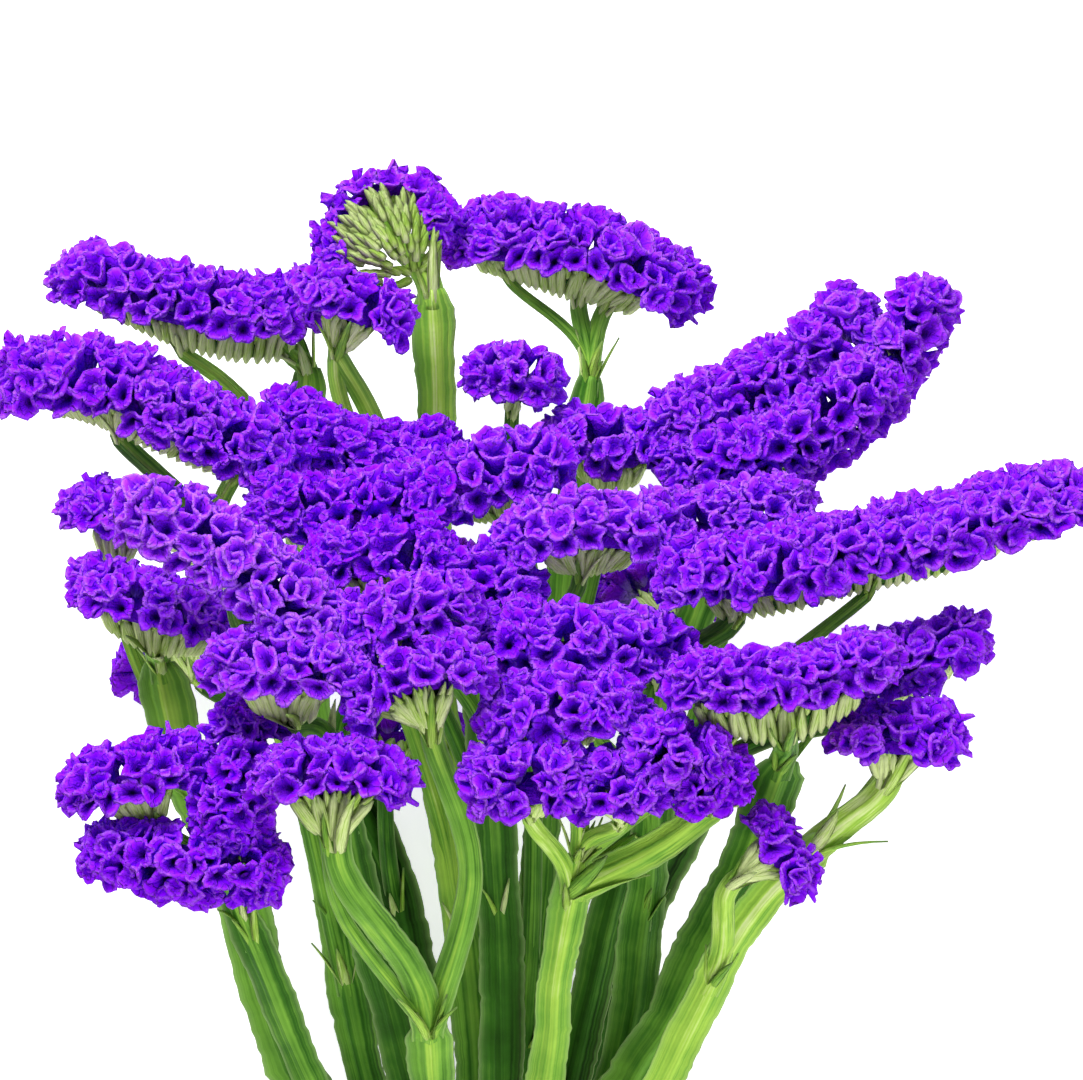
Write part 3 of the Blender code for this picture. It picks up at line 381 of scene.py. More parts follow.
def list_spikes():
    """The spikes, from the far left over the top to the right, then the front ones, then the rear ones."""
    far_up = (0.05, 0.88, 0.48)
    up = (0.0, 0.78, 0.62)
    down = (0.0, 0.65, -0.76)
    SPIKES.update(
        spike_01=Spike("back_1", [(-98, 262, 54), (-89, 260, 56), (-78, 256.5, 58), (-65, 254, 58),
            (-54, 253.5, 57), (-42, 256, 56)], far_up, [(1.0, 0.97, 3.0), (0.93, 0.45, 2.2, (-60, 238, 50))],
            reach=ARM_REACH),
        spike_02=Spike("back_1", [(-108, 236.5, 80), (-99, 237.5, 82), (-88, 235.5, 84), (-77, 230, 84),
            (-65, 223.5, 84), (-50, 218, 82)], (-0.1, 0.8, 0.6), [(0.62, 0.36, 2.8, (-58, 190, 58)),
            (0.66, 0.92, 2.5)], reach=WIDE_REACH),
        spike_03=Spike("back_2", [(-31, 268.5, 57), (-33, 277, 55), (-27, 284, 54), (-18.5, 284, 55),
            (-14, 277, 57)], (0.0, 0.55, -0.83), [(1.0, 0.6, 3.5)], reach=9.0, fan=0, depth=9.0,
            around=(-24, 274, 56)),
        spike_04=Spike("back_2", [(-41, 259, 72), (-33, 256, 72), (-24, 252, 72)], (0.2, 0.9, 0.4),
            [(0.72, 0.55, 3.0, (-24, 222, 56)), (0.78, 0.3, 2.4)], reach=12.0),
        spike_05=Spike("back_3", [(-6, 271.5, 45), (4, 271.5, 45), (18, 270, 45), (27, 268, 45), (36, 263.5, 45),
            (43, 259.5, 45)], (0.1, 0.88, 0.46), [(1.0, 0.12, 1.5), (1.0, 0.62, 2.6), (1.0, 0.84, 2.6)],
            reach=WIDE_REACH),
        spike_06=Spike("back_3", [(3, 240, 68), (7, 240.5, 68), (11, 239, 68)], (0, 0.75, 0.66),
            [(0.74, 0.5, 2.2)], reach=11.5),
        spike_07=Spike("back_3", [(19, 224.5, 66), (30, 221.5, 66), (42, 222.5, 66)], (0.1, 0.78, 0.62),
            [(0.7, 0.5, 2.2)]),
        spike_08=Spike("back_2", [(-48, 229, 76), (-37, 222, 76), (-20, 218, 76), (-11, 221, 76)], (0, 0.8, 0.6),
            [(0.62, 0.55, 2.6)]),
        spike_10=Spike("back_3", [(-11, 211, 90), (2, 214, 90), (16, 217, 90)], (0.1, 0.8, 0.6),
            [(0.58, 0.5, 2.5)], reach=ARM_REACH),
        spike_11=Spike("middle_3", [(-11, 190, 104), (-1, 189, 104), (9, 191, 104)], (0, 0.8, 0.6),
            [(1.0, 0.5, 2.4)], reach=ARM_REACH),
        spike_12=Spike("middle_3", [(-50, 206.5, 92), (-37, 204.5, 92), (-24, 206.5, 92), (-10, 208.5, 92)], up,
            [(0.8, 0.6, 2.4)], reach=ARM_REACH),
        spike_13=Spike("middle_3", [(-36, 194, 106), (-23, 195, 106), (-12, 196, 106)], (0, 0.9, 0.4),
            [(0.92, 0.5, 2.2)]),
        spike_14=Spike("middle_3", [(10, 199, 106), (22, 202, 106), (40, 201, 104)], (0, 0.85, 0.5),
            [(0.92, 0.4, 2.4)]),
        spike_15=Spike("middle_4", [(41, 202.5, 88), (56, 202.5, 88), (72, 207.5, 88)], (0.1, 0.78, 0.62),
            [(0.8, 0.5, 2.4)], reach=ARM_REACH),
        spike_16=Spike("back_4", [(50, 219, 72), (68, 223, 72), (83, 231, 71), (93, 239, 70)], (0.15, 0.3, 0.94),
            [(1.0, 0.4, 2.6)], reach=ARM_REACH),
        spike_17=Spike("back_4", [(46, 227, 68), (64, 234, 66), (79, 243, 64), (90, 253, 62)],
            (-0.38, 0.72, 0.58), [(1.0, 0.45, 2.4)], reach=ARM_REACH),
        spike_18=Spike("back_4", [(95, 246, 66), (100, 252, 65), (103, 259, 64)], (0.6, 0.1, 0.8),
            [(1.0, 0.3, 2.2, (82, 230, 58))]),
        spike_19=Spike("middle_4", [(137, 208, 112), (129, 206, 112), (120, 203, 112), (108, 199, 112),
            (97, 197, 112), (85, 195, 112), (73, 192, 112), (60, 190, 112), (48, 190, 111)], (-0.15, 0.85, 0.5),
            [(1.0, 0.93, 3.2), (0.93, 0.55, 2.0, (62, 168, 98))], reach=WIDE_REACH, depth=6.5),
        spike_21=Spike("middle_4", [(40, 172.5, 114), (28, 173.5, 115), (14, 174.5, 115), (-3, 176.5, 114)], up,
            [(0.86, 0.45, 2.4)], reach=WIDE_REACH),
        spike_22=Spike("middle_2", [(-78, 207, 124), (-66, 201, 126), (-52, 191, 127), (-39, 180, 127)],
            (0.2, 0.5, 0.84), [(0.92, 0.6, 3.0)], reach=ARM_REACH),
        spike_23=Spike("middle_2", [(-58, 170, 132), (-45, 170, 133), (-32, 169, 133)], (-0.1, 0.85, 0.5),
            [(1.0, 0.6, 3.0)], depth=11.0, fan=10),
        spike_24=Spike("middle_2", [(-30, 178, 126), (-19, 182, 126), (-7, 185, 125)], (0.2, 0.8, 0.5),
            [(0.95, 0.35, 2.6)]),
        spike_25=Spike("middle_1", [(-94, 206, 82), (-87, 204, 82), (-79, 203, 82)], (0, 0.9, 0.4),
            [(0.9, 0.5, 2.0)]),
        spike_26=Spike("middle_1", [(-93, 188, 92), (-84, 185, 93), (-72, 182, 94), (-60, 179, 94)],
            (0, 0.85, 0.5), [(1.0, 0.5, 3.0)]),
        spike_28=Spike("front_2", [(-24, 162, 134), (-19, 167, 134), (-11.5, 169, 134), (-3.5, 168.5, 133)],
            (-0.1, 0.95, 0.3), [(1.0, 0.75, 3.4, (-3, 125, 114))], depth=12.0, fan=8),
        spike_29=Spike("front_3", [(5, 160, 128), (18, 161, 128), (31, 162, 128)], up, [(1.0, 0.5, 2.4)]),
        spike_30=Spike("front_3", [(2, 145.5, 132), (11, 144.5, 132), (19, 146, 132)], (-0.2, 0.6, 0.77),
            [(0.95, 0.5, 2.4)]),
        spike_31=Spike("front_3", [(28, 143, 130), (34, 144, 130)], (0, 0.75, 0.66), [(1.0, 0.5, 2.4)]),
        spike_32=Spike("front_3", [(40, 152, 130), (48, 152, 129)], (0.2, 0.7, 0.68),
            [(1.0, 0.4, 2.2, (34, 138, 112))]),
        spike_38=Spike("front_3", [(50, 145, 128), (55, 147, 127)], (0.3, 0.6, 0.74),
            [(0.97, 0.5, 4.5, (38, 130, 108))], reach=10.5),
        spike_33=Spike("front_4", [(46, 166, 130), (56, 165, 130), (72, 166, 129), (91, 171, 126)],
            (0.05, 0.92, 0.4), [(1.0, 0.5, 3.4)], depth=11.0, fan=10),
        spike_34=Spike("front_5", [(89, 171, 104), (101, 172, 104), (113, 178, 104)], (0.2, 0.7, 0.68),
            [(1.0, 0.4, 1.6)], reach=12.0),
        spike_35=Spike("front_5", [(86, 155, 118), (95, 154, 118), (104, 153.5, 117)], (0.05, 0.9, 0.45),
            [(1.0, 0.5, 4.0)]),
        spike_36=Spike("front_5", [(63, 134, 119), (66, 129, 119), (69, 124, 118)], (0.75, 0.6, 0.2),
            [(0.86, 0.5, 3.0)], reach=10.0, depth=10.0),
        spike_37=Spike("front_1", [(-90, 142, 120), (-81, 144, 121), (-69, 147, 121)], (-0.2, 0.85, 0.5),
            [(1.0, 0.7, 2.6)]),
        spike_40=Spike("front_1", [(-59, 139, 122), (-55, 150, 122), (-54, 163, 121)], (0.1, 0.1, 1.0),
            [(0.95, 0.35, 3.0)]),
        spike_39=Spike("front_1", [(-86, 132, 116), (-75, 129, 118), (-62, 127, 119), (-52, 127, 119)],
            (0, 0.1, 0.99), [(0.97, 0.7, 2.4)]),
        spike_41=Spike("front_2", [(-46, 143.5, 136), (-38, 145, 138), (-30, 145, 138), (-23, 143.5, 137)],
            (0, 0.97, 0.25), [(1.0, 0.3, 2.0, (-32, 115, 118)), (1.0, 0.62, 4.2)], fan=10, depth=12.0),
        spike_51=Spike("rear_1", [(-86, 168, 12), (-74, 173, 12), (-60, 172, 12)], down, [(1.0, 0.6, 2.6)]),
        spike_52=Spike("rear_1", [(-36, 191, 22), (-22, 193, 22), (-8, 193, 22)], down, [(0.95, 0.5, 2.4)]),
        spike_53=Spike("rear_1", [(-34, 152, 18), (-22, 150, 18), (-10, 148, 18)], down, [(0.85, 0.3, 2.4)]),
        spike_54=Spike("rear_2", [(8, 160, 18), (20, 164, 18), (34, 166, 18)], down, [(0.85, 0.7, 2.4)]),
        spike_55=Spike("rear_2", [(34, 187, 22), (46, 189, 22), (60, 189, 22)], down, [(1.0, 0.5, 2.4)]),
        spike_56=Spike("rear_2", [(84, 162, 12), (96, 166, 12), (108, 172, 12)], down, [(0.97, 0.3, 2.6)]))


def spline(before, start, end, after, t):
    """The points at shares t of the way from start to end, on a Catmull-Rom curve."""
    bend = 2 * before - 5 * start + 4 * end - after
    twist = 3 * start - before - 3 * end + after
    return 0.5 * (2 * start + (end - before) * t + bend * t ** 2 + twist * t ** 3)


def smooth(points, step):
    """The points of a Catmull-Rom curve through the given points, about step apart."""
    points = np.array(points, float)
    ends = np.vstack([2 * points[0] - points[1], points, 2 * points[-1] - points[-2]])
    runs = []
    for i in range(len(points) - 1):
        count = max(1, round(np.linalg.norm(points[i + 1] - points[i]) / step))
        runs.append(spline(*ends[i:i + 4], (np.arange(count) / count)[:, None]))
    return np.vstack(runs + [points[-1:]])


def length_of(path):
    return np.linalg.norm(np.diff(path, axis=0), axis=1).sum()


def run_of(path):
    """How far along the path each of its points lies."""
    return np.concatenate([[0], np.cumsum(np.linalg.norm(np.diff(path, axis=0), axis=1))])


def at_share(path, shares):
    """The points at these shares of the path's length."""
    lengths = run_of(path)
    return np.stack([np.interp(np.multiply(shares, lengths[-1]), lengths, path[:, k]) for k in range(3)], axis=-1)


def even(path, step, least=2):
    """The path again, with its points evenly spaced, about step apart."""
    count = max(least, round(length_of(path) / step) + 1)
    return at_share(path, np.linspace(0, 1, count))


def tie_place(stem):
    """Where the stem passes the tie: (x, z)."""
    return stem.column * STEM_PITCH_X, REAR_HEIGHT + ROWS.index(stem.row) * ROW_SPACING


def stem_path(stem):
    """From the cut end, straight through the tie, to the stem's last node."""
    x, z = tie_place(stem)
    cut_y = CUT_END_Y + 5 * math.sin(3 * stem.column + z)
    cut = (x * END_SPLAY_X, cut_y, REAR_HEIGHT + (z - REAR_HEIGHT) * END_SPLAY_Z)
    halfway = tuple(0.5 * (a + b) for a, b in zip(cut, (x, -TIE_HALF_STRAIGHT, z)))
    start, end = (x, -TIE_HALF_STRAIGHT, z), (x, TIE_HALF_STRAIGHT, z)
    below = smooth([cut, halfway, start], STEM_STEP)[:-1]
    above = smooth([end] + stem.route, STEM_STEP)
    return np.vstack([below, [start], above])


def spine_of(spike):
    """The spine, from which the flowers at its ends still stand out to the spike's full length."""
    path = smooth(spike.spine, 2.0)
    trim = min(TIP_TRIM / length_of(path), TIP_TRIM_SHARE)
    return at_share(path, np.linspace(trim, 1 - trim, len(path)))


def heading_at(path, shares):
    """The way that the path runs at these shares of its length."""
    ahead = at_share(path, np.minimum(np.add(shares, HEADING_SHARE), 1))
    return unit(ahead - at_share(path, np.maximum(np.subtract(shares, HEADING_SHARE), 0)))


def facing_at(spike, shares):
    """The way the flowers face at shares of the spine, at right angles to it but fanned out at its ends."""
    spine = spine_of(spike)
    along = heading_at(spine, shares)
    faces = spike.faces if spike.around is None else unit(at_share(spine, shares) - spike.around)
    upright = unit(faces - along * (faces * along).sum(axis=-1, keepdims=True))
    lean = np.radians(spike.fan) * (2 * np.asarray(shares) - 1)[..., None]
    return unit(upright * np.cos(lean) + along * np.sin(lean))


def frame_at(spike, spine, shares):
    """At shares of the spine: the way along it, the way the flowers face, and the side."""
    along, facing = heading_at(spine, shares), facing_at(spike, shares)
    return along, facing, unit(np.cross(along, facing))


def broadest_at(spike):
    """The share of the spine where its broadest branch arrives."""
    return max(spike.joins, key=lambda join: join[2])[1]


def comb_depth(spike, shares):
    """Deep where its broadest branch arrives, and shallow towards the tips."""
    if spike.around is not None:
        return np.full(np.shape(shares), spike.depth)
    root = broadest_at(spike)
    off = np.abs(np.subtract(shares, root)) / max(root, 1 - root)
    taper = COMB_TAPER * min(1, length_of(spine_of(spike)) / TAPERED_LENGTH)
    return spike.depth * (1 - taper * off ** 1.5)


def branch_path(spike, join):
    """From the stem, along its run, to the underside of the comb."""
    leaves, arrives, _, *through = join
    stem = PATHS[spike.stem]
    start = at_share(stem, leaves)
    run = heading_at(stem, leaves)
    facing = facing_at(spike, arrives)
    foot = at_share(spine_of(spike), arrives) - facing * (comb_depth(spike, arrives) - JOINT_DEPTH)
    if through:
        return smooth([start - 3 * run, start, *through, foot - 3 * facing, foot + facing], JOINT_SMOOTH)
    pull = BRANCH_PULL * np.linalg.norm(foot - start)
    t = np.linspace(0, 1, 8)[:, None]
    a, b, c, d = start, start + pull * run, foot - 0.6 * pull * facing, foot + facing
    curve = a * (1 - t) ** 3 + 3 * b * t * (1 - t) ** 2 + 3 * c * t ** 2 * (1 - t) + d * t ** 3
    return np.vstack([start - 3 * run, curve])


def lay_out():
    """Works out the paths of all stems, spines and stalks, before anything is made."""
    list_stems()
    list_spikes()
    for name, stem in STEMS.items():
        PATHS[name] = stem_path(stem)
        STALKS.append((name, even(PATHS[name], SITE_STEP), stem.wing))
    for name, spike in SPIKES.items():
        SITES[name] = even(spine_of(spike), SITE_STEP)
        for join in spike.joins:
            STALKS.append((name, even(branch_path(spike, join), SITE_STEP), join[2]))


def give_way(points, origins, name):
    """The shares by which points are drawn in towards their origins, so that none passes far beyond the plane
    to another spine or the near side of another stalk. The plane lies nearer to the lower spine."""
    out = points - origins
    shares = np.ones(len(points))
    spines = np.vstack([sites for other, sites in SITES.items() if other != name])
    stalks = np.vstack([sites for owner, sites, _ in STALKS if owner != name])
    radii = np.concatenate([np.full(len(sites), radius) for owner, sites, radius in STALKS if owner != name])
    for others, sizes in ((spines, None), (stalks, radii)):
        near = np.linalg.norm(others[None] - origins.mean(axis=0), axis=-1)[0] < 3 * SIGHT
        away = others[near][None] - origins[:, None]
        distance = np.linalg.norm(away, axis=-1)
        if sizes is None:
            above = np.clip(-away[..., 2] / UPPER_BY, -1, 1)
            limit = distance * (0.5 + UPPER_SHARE * above) + PLANE_SLACK
        else:
            limit = distance - sizes[near] + STALK_SLACK
        toward = (away * out[:, None]).sum(axis=-1) / np.maximum(distance, 1e-6)
        room = np.maximum(limit, LEAST_ROOM) / np.maximum(toward, 1e-6)
        room = np.where((toward > 1e-6) & (limit < SIGHT), room, 1.0)
        shares = np.minimum(shares, room.min(axis=1))
    return shares


class Skin:
    """Closed skins: their corners, and for each face its corners and their places on the skin.

    Attributes hold one number for each corner: tone, from dark to light, and reach, from foot to tip.
    """

    def __init__(self):
        self.points, self.quads, self.quad_uv, self.threes, self.three_uv = [], [], [], [], []
        self.tone, self.reach, self.count = [], [], 0

    def add(self, rings, tone, reach):
        """Adds skins over rings of points, an array (how many, rings, corners, 3).

        Each end is closed to its middle. tone is one number, one for each skin, or an array (how many, rings).
        reach is one number for each ring, or an array (rings, corners).
        """
        many, rows, around, _ = rings.shape
        first = self.count
        grid = first + np.arange(many * rows * around).reshape(many, rows, around)
        ends = first + many * rows * around + np.arange(2 * many).reshape(2, many)
        following = np.roll(grid, -1, axis=2)
        quads = np.stack([grid[:, :-1], following[:, :-1], following[:, 1:], grid[:, 1:]], axis=-1)
        u = np.broadcast_to(np.arange(around) / around, (rows - 1, around))
        v = np.broadcast_to((np.arange(rows - 1) / (rows - 1))[:, None], (rows - 1, around))
        du, dv = 1 / around, 1 / (rows - 1)
        uv = np.stack([np.stack([u, v], -1), np.stack([u + du, v], -1),
                       np.stack([u + du, v + dv], -1), np.stack([u, v + dv], -1)], axis=-2)
        low = np.stack([following[:, 0], grid[:, 0], np.broadcast_to(ends[0][:, None], (many, around))], -1)
        high = np.stack([grid[:, -1], following[:, -1], np.broadcast_to(ends[1][:, None], (many, around))], -1)
        u = np.arange(around) / around
        foot = np.stack([np.stack([u + du, 0 * u], -1), np.stack([u, 0 * u], -1), np.stack([u, 0 * u], -1)], -2)
        head = np.stack([np.stack([u, 0 * u + 1], -1), np.stack([u + du, 0 * u + 1], -1),
                         np.stack([u, 0 * u + 1], -1)], -2)
        middles = np.concatenate([rings[:, 0].mean(axis=1), rings[:, -1].mean(axis=1)])
        self.points.append(np.concatenate([rings.reshape(-1, 3), middles]))
        self.quads.append(quads.reshape(-1, 4))
        self.quad_uv.append(np.broadcast_to(uv, (many,) + uv.shape).reshape(-1, 2))
        self.threes += [low.reshape(-1, 3), high.reshape(-1, 3)]
        self.three_uv += [np.broadcast_to(part, (many,) + part.shape).reshape(-1, 2) for part in (foot, head)]
        tone = np.broadcast_to(tone if np.ndim(tone) == 2 else np.reshape(tone, (-1, 1)), (many, rows))
        self.tone.append(np.concatenate([np.repeat(tone.ravel(), around), tone[:, 0], tone[:, -1]]))
        reach = np.broadcast_to(np.reshape(reach, (rows, -1)), (rows, around))
        self.reach.append(np.concatenate([np.tile(reach.ravel(), many), np.full(many, reach[0, 0]),
                                          np.full(many, reach[-1, 0])]))
        self.count += many * rows * around + 2 * many

    def piece(self, name, made):
        """One smooth-shaded mesh object of all the skins, in metres, with its faces out."""
        points = np.concatenate(self.points)
        points[:, 2] = np.maximum(points[:, 2], 0.0)
        quads, threes = np.concatenate(self.quads), np.concatenate(self.threes)
        mesh = bpy.data.meshes.new(name)
        mesh.vertices.add(len(points))
        mesh.vertices.foreach_set("co", (points * MM).ravel().astype(np.float32))
        mesh.loops.add(quads.size + threes.size)
        mesh.loops.foreach_set("vertex_index", np.concatenate([quads.ravel(), threes.ravel()]).astype(np.int32))
        mesh.polygons.add(len(quads) + len(threes))
        starts = np.concatenate([4 * np.arange(len(quads)), quads.size + 3 * np.arange(len(threes))])
        mesh.polygons.foreach_set("loop_start", starts.astype(np.int32))
        mesh.update(calc_edges=True)
        uv = mesh.uv_layers.new(name="skin")
        places = np.concatenate(self.quad_uv + self.three_uv)
        uv.data.foreach_set("uv", places.ravel().astype(np.float32))
        for title, values in (("tone", self.tone), ("reach", self.reach)):
            layer = mesh.attributes.new(title, "FLOAT", "POINT")
            layer.data.foreach_set("value", np.concatenate(values).astype(np.float32))
        mesh.shade_smooth()
        mesh.validate()
        mesh.materials.append(made)
        obj = bpy.data.objects.new(name, mesh)
        bpy.context.scene.collection.objects.link(obj)
        return obj


def across(along, up=(0.0, 0.0, 1.0)):
    """The side and the lift, at right angles to the way along."""
    side = unit(np.cross(along, np.array(up)))
    return side, np.cross(side, along)


def turned(side, lift, degrees):
    """Side and lift, turned about the run."""
    turn = np.radians(degrees)[..., None]
    return side * np.cos(turn) + lift * np.sin(turn), lift * np.cos(turn) - side * np.sin(turn)


def waves(run, phases, table):
    """Sums of sines along a run, one for each row of phases. The table lists (size, millimetres to a radian)."""
    return sum(size * np.sin(run / pace + phases[:, k, None]) for k, (size, pace) in enumerate(table))


def winged(skin, path, halves, core, turns, tone, rng):
    """A winged stalk: a rounded core with a thin, wavy wing on each side.

    Round the section, the corner at angle v lies at half * cos(v) across. Its height is that of the wing's own
    thickness, plus the core's, which falls off as a bell curve away from the middle. Along the path the wings'
    margins swing out and in, and up and down, by sums of sines.
    """
    side, lift = turned(*across(unit(np.gradient(path, axis=0))), turns)
    run = run_of(path)
    v = np.linspace(0, 2 * np.pi, WING_CORNERS, endpoint=False)
    phases = rng.uniform(0, 2 * np.pi, (2, 4))
    wing = np.clip((halves - core) / FULL_WING, 0, 1)[:, None]
    sign = np.where(np.cos(v) >= 0, 0, 1)
    swing = waves(run, phases[:, :2], SWING)
    swing = swing + SWING_NOISE * rng.normal(0, 1, swing.shape)
    ripple = waves(run, phases[:, 2:], RIPPLE)
    wide = halves[:, None] * np.cos(v) * (1 + wing * swing[sign].T)
    off = np.abs(np.cos(v)) ** 2
    bell = core[:, None] * np.exp(-(wide / (CORE_BELL * core[:, None])) ** 2)
    squared = np.sign(np.sin(v)) * np.abs(np.sin(v)) ** CORE_SQUARED
    high = (WING_EDGE + bell) * squared + wing * ripple[sign].T * off
    rings = path[:, None] + side[:, None] * wide[..., None] + lift[:, None] * high[..., None]
    skin.add(rings[None], np.atleast_2d(tone), np.broadcast_to(np.abs(np.cos(v)), rings.shape[:2]))


def blades(skin, roots, ways, outs, lengths, widths, curls, tones, rng, blunt=False):
    """Thin blades: bracts, stipules and scale leaves.

    A blade's midline runs from its root along its way, and curls outwards by the square of the distance.
    Its half-width is that of a spearhead, about 1.75 * t ** 0.4 * (1 - t) ** 0.8, or of a blunt strip,
    sqrt(1 - (2 * t - 1) ** 6). Its section is a flat diamond, and that of a strip is as high as it is wide.
    """
    t = np.linspace(0, 1, BLADE_ROWS)
    across_it = unit(np.cross(ways, outs))
    outs = np.cross(across_it, ways)
    bend = stray(rng, BLADE_BEND, (len(roots), 1, 1))
    middle = (roots[:, None] + ways[:, None] * (lengths[:, None] * t)[..., None]
              + outs[:, None] * (curls[:, None] * lengths[:, None] * t ** 2)[..., None]
              + across_it[:, None] * bend * (lengths[:, None] * t ** 2)[..., None])
    half = widths[:, None] * np.maximum(1.75 * (t + 0.08) ** 0.4 * np.maximum(1.03 - t, 0) ** 0.8, 0.04)
    thick = np.full_like(half, BLADE_THICK)
    if blunt:
        half = widths[:, None] * np.maximum(1 - (2 * t - 1) ** 6, 0.1) ** 0.5
        thick = STRIP_THICK * half
    cup = BLADE_CUP * half
    corners = [(1, 0, 1), (0, 1, 0), (-1, 0, 1), (0, -1, 0)]
    rings = np.stack([middle + across_it[:, None] * (a * half)[..., None]
                      + outs[:, None] * (b * thick - c * cup)[..., None] for a, b, c in corners], axis=2)
    skin.add(rings, tones, t)


def bracts(skin, spike, rng):
    """The comb's bracts: blunt ribs from the keel up both sides to the flowers, and pointed ones over their heads.

    The ribs fan out from where the broadest branch arrives.
    """
    spine = spine_of(spike)
    root = broadest_at(spike)
    count = max(4, round((length_of(spine) + 4) / BRACT_STEP))
    for rank, (low, spread, long, wide) in enumerate(BRACT_RANKS):
        shares = np.clip((np.arange(count) + 0.5 * rank + 0.25 + stray(rng, BRACT_STRAY, count)) / count, 0, 1)
        along, facing, side = frame_at(spike, spine, shares)
        deep = comb_depth(spike, shares)
        for sign in (-1, 1):
            open_out = (BRACT_FAN * (shares - root) + stray(rng, FAN_STRAY, count))[:, None]
            ways = unit(facing + side * sign * spread + along * open_out)
            roots = (at_share(spine, shares) - facing * (deep * low)[:, None]
                     - along * open_out * (deep * low)[:, None] * 0.25 + side * sign * 0.5)
            tones = np.clip(BRACT_TONE - RANK_DARKER * rank + stray(rng, TONE_STRAY, count), 0, 1)
            lengths = long * deep * rng.uniform(0.9, 1.1, count)
            blades(skin, roots, ways, unit(side * sign - facing * spread), lengths, np.full(count, wide),
                   np.full(count, BRACT_CURL), tones, rng, rank == 0)


def scaly_dome(skin, rng):
    """The back of a spike that curls into a ring: tiers of small scales that fan out from the dome's near edge.

    A tier is an arc round that edge's middle, as wide as the dome there: by acos(distance / diameter) to either
    side. The dome's height falls off with the square of the distance from its centre.
    """
    centre = np.array(DOME_CENTRE)
    foot = centre + np.array([math.cos(DOME_AHEAD + math.pi), math.sin(DOME_AHEAD + math.pi), 0]) * DOME_RADIUS
    for far in np.arange(0.05, 0.96, 1 / DOME_TIERS):
        spread = 0.96 * math.acos(far)
        count = max(4, round(2 * spread * far * 2 * DOME_RADIUS / SCALE_PITCH))
        turn = DOME_AHEAD + np.linspace(-spread, spread, count) + stray(rng, SCALE_STRAY, count)
        outs = np.stack([np.cos(turn), np.sin(turn), 0 * turn], axis=1)
        places = foot + outs * far * 2 * DOME_RADIUS
        off = np.linalg.norm((places - centre)[:, :2], axis=1) / DOME_RADIUS
        places[:, 2] += DOME_RISE * (1 - off ** 2)
        lengths = rng.uniform(*SCALE_LENGTH, count)
        tones = np.clip(np.interp(far, [0, 1], SCALE_TONES) + stray(rng, SCALE_TONE_STRAY, count), 0, 1)
        blades(skin, places, unit(outs + np.array([0, 0, SCALE_LIFT])), np.tile([0.0, 0.0, 1.0], (count, 1)),
               lengths, np.full(count, SCALE_HALF), np.full(count, SCALE_CURL), tones, rng)


def keel(skin, spike, tone):
    """The comb's body under the flowers: an oval section hung below the spine, as deep as the comb is. Its dark
    tone is painted shade, seen in the gaps between the bracts.
    """
    spine = even(spine_of(spike), KEEL_STEP, 6)
    shares = np.linspace(0, 1, len(spine))
    _, facing, side = frame_at(spike, spine, shares)
    deep = KEEL_DEPTH * comb_depth(spike, shares)
    ends = np.sqrt(np.clip(1 - (2 * shares - 1) ** 6, 0.05, 1))
    v = np.linspace(0, 2 * np.pi, 10, endpoint=False)
    wide = (KEEL_HALF * ends)[:, None] * np.cos(v) * (0.75 + 0.25 * np.sin(v))
    high = (0.5 * deep * ends)[:, None] * (np.sin(v) - 1)
    rings = spine[:, None] + side[:, None] * wide[..., None] + facing[:, None] * high[..., None]
    skin.add(rings[None], tone, np.full(len(spine), 0.2))


def stipules(skin, point, run, half, rng):
    """The pointed leaves that clasp a node."""
    turn = rng.uniform(0, 2 * np.pi) + np.arange(STIPULES) * 2 * np.pi / STIPULES
    side, lift = across(run)
    outs = side * np.cos(turn)[:, None] + lift * np.sin(turn)[:, None]
    ways = unit(run + outs * rng.uniform(*STIPULE_OPENING, (STIPULES, 1)))
    roots, lengths = point + outs * half * 0.45 - 2 * run, rng.uniform(*STIPULE_LENGTH, STIPULES) * half
    curls, tones = rng.uniform(-0.05, 0.2, STIPULES), rng.uniform(0.5, 1.0, STIPULES)
    blades(skin, roots, ways, outs, lengths, np.full(STIPULES, STIPULE_HALF * half), curls, tones, rng)


def grow_stem(name, stem, number):
    """One green piece: the stem, its branches, their stipules and the combs at their tips."""
    rng = np.random.default_rng([SEED, number])
    skin = Skin()
    path = PATHS[name]
    path = even(np.vstack([path, path[-1:] + 2 * unit(path[-1:] - path[-2:-1])]), WING_STEP)
    y = path[:, 1]
    marks = [CUT_END_Y, -TIE_HALF_STRAIGHT, WIDENING_Y, WIDENED_Y]
    halves = np.interp(y, marks, [CUT_HALF_WIDTH, TIE_HALF_WIDTH, TIE_HALF_WIDTH, stem.wing])
    halves[-3:] *= TIP_NARROWING
    turns = stem.turn * np.interp(y, [TIE_HALF_STRAIGHT, TURNED_Y], [0, 1])
    # The stem's tone is partly its own green and partly painted shade.
    tone = STEM_TONES[name]
    # Painted shade: the stem darkens towards the tie by its row's share.
    shaded = tone * np.interp(y, [WIDENING_Y, TURNED_Y], [LOW_SHADE[stem.row], 1])
    winged(skin, path, halves, np.full(len(path), CORE_HALF), turns, shaded, rng)
    for spike in [spike for spike in SPIKES.values() if spike.stem == name]:
        for join in spike.joins:
            points = even(smooth(branch_path(spike, join), BRANCH_SMOOTH), BRANCH_STEP, 6)
            shares = np.linspace(0, 1, len(points))
            wide = join[2] * (1.0 - BRANCH_NARROWING * shares)
            winged(skin, points, wide, np.minimum(BRANCH_CORE * wide, CORE_HALF), 0 * shares,
                   tone + rng.uniform(*BRANCH_TONES), rng)
            stipules(skin, points[2], unit(points[3] - points[1]), join[2], rng)
            stipules(skin, points[-3], unit(points[-2] - points[-4]), join[2], rng)
        # The keel's dark tone is painted shade between the bracts.
        keel(skin, spike, KEEL_SHADE_TONE)
        bracts(skin, spike, rng)
        if spike.around is not None:
            scaly_dome(skin, rng)
    return skin


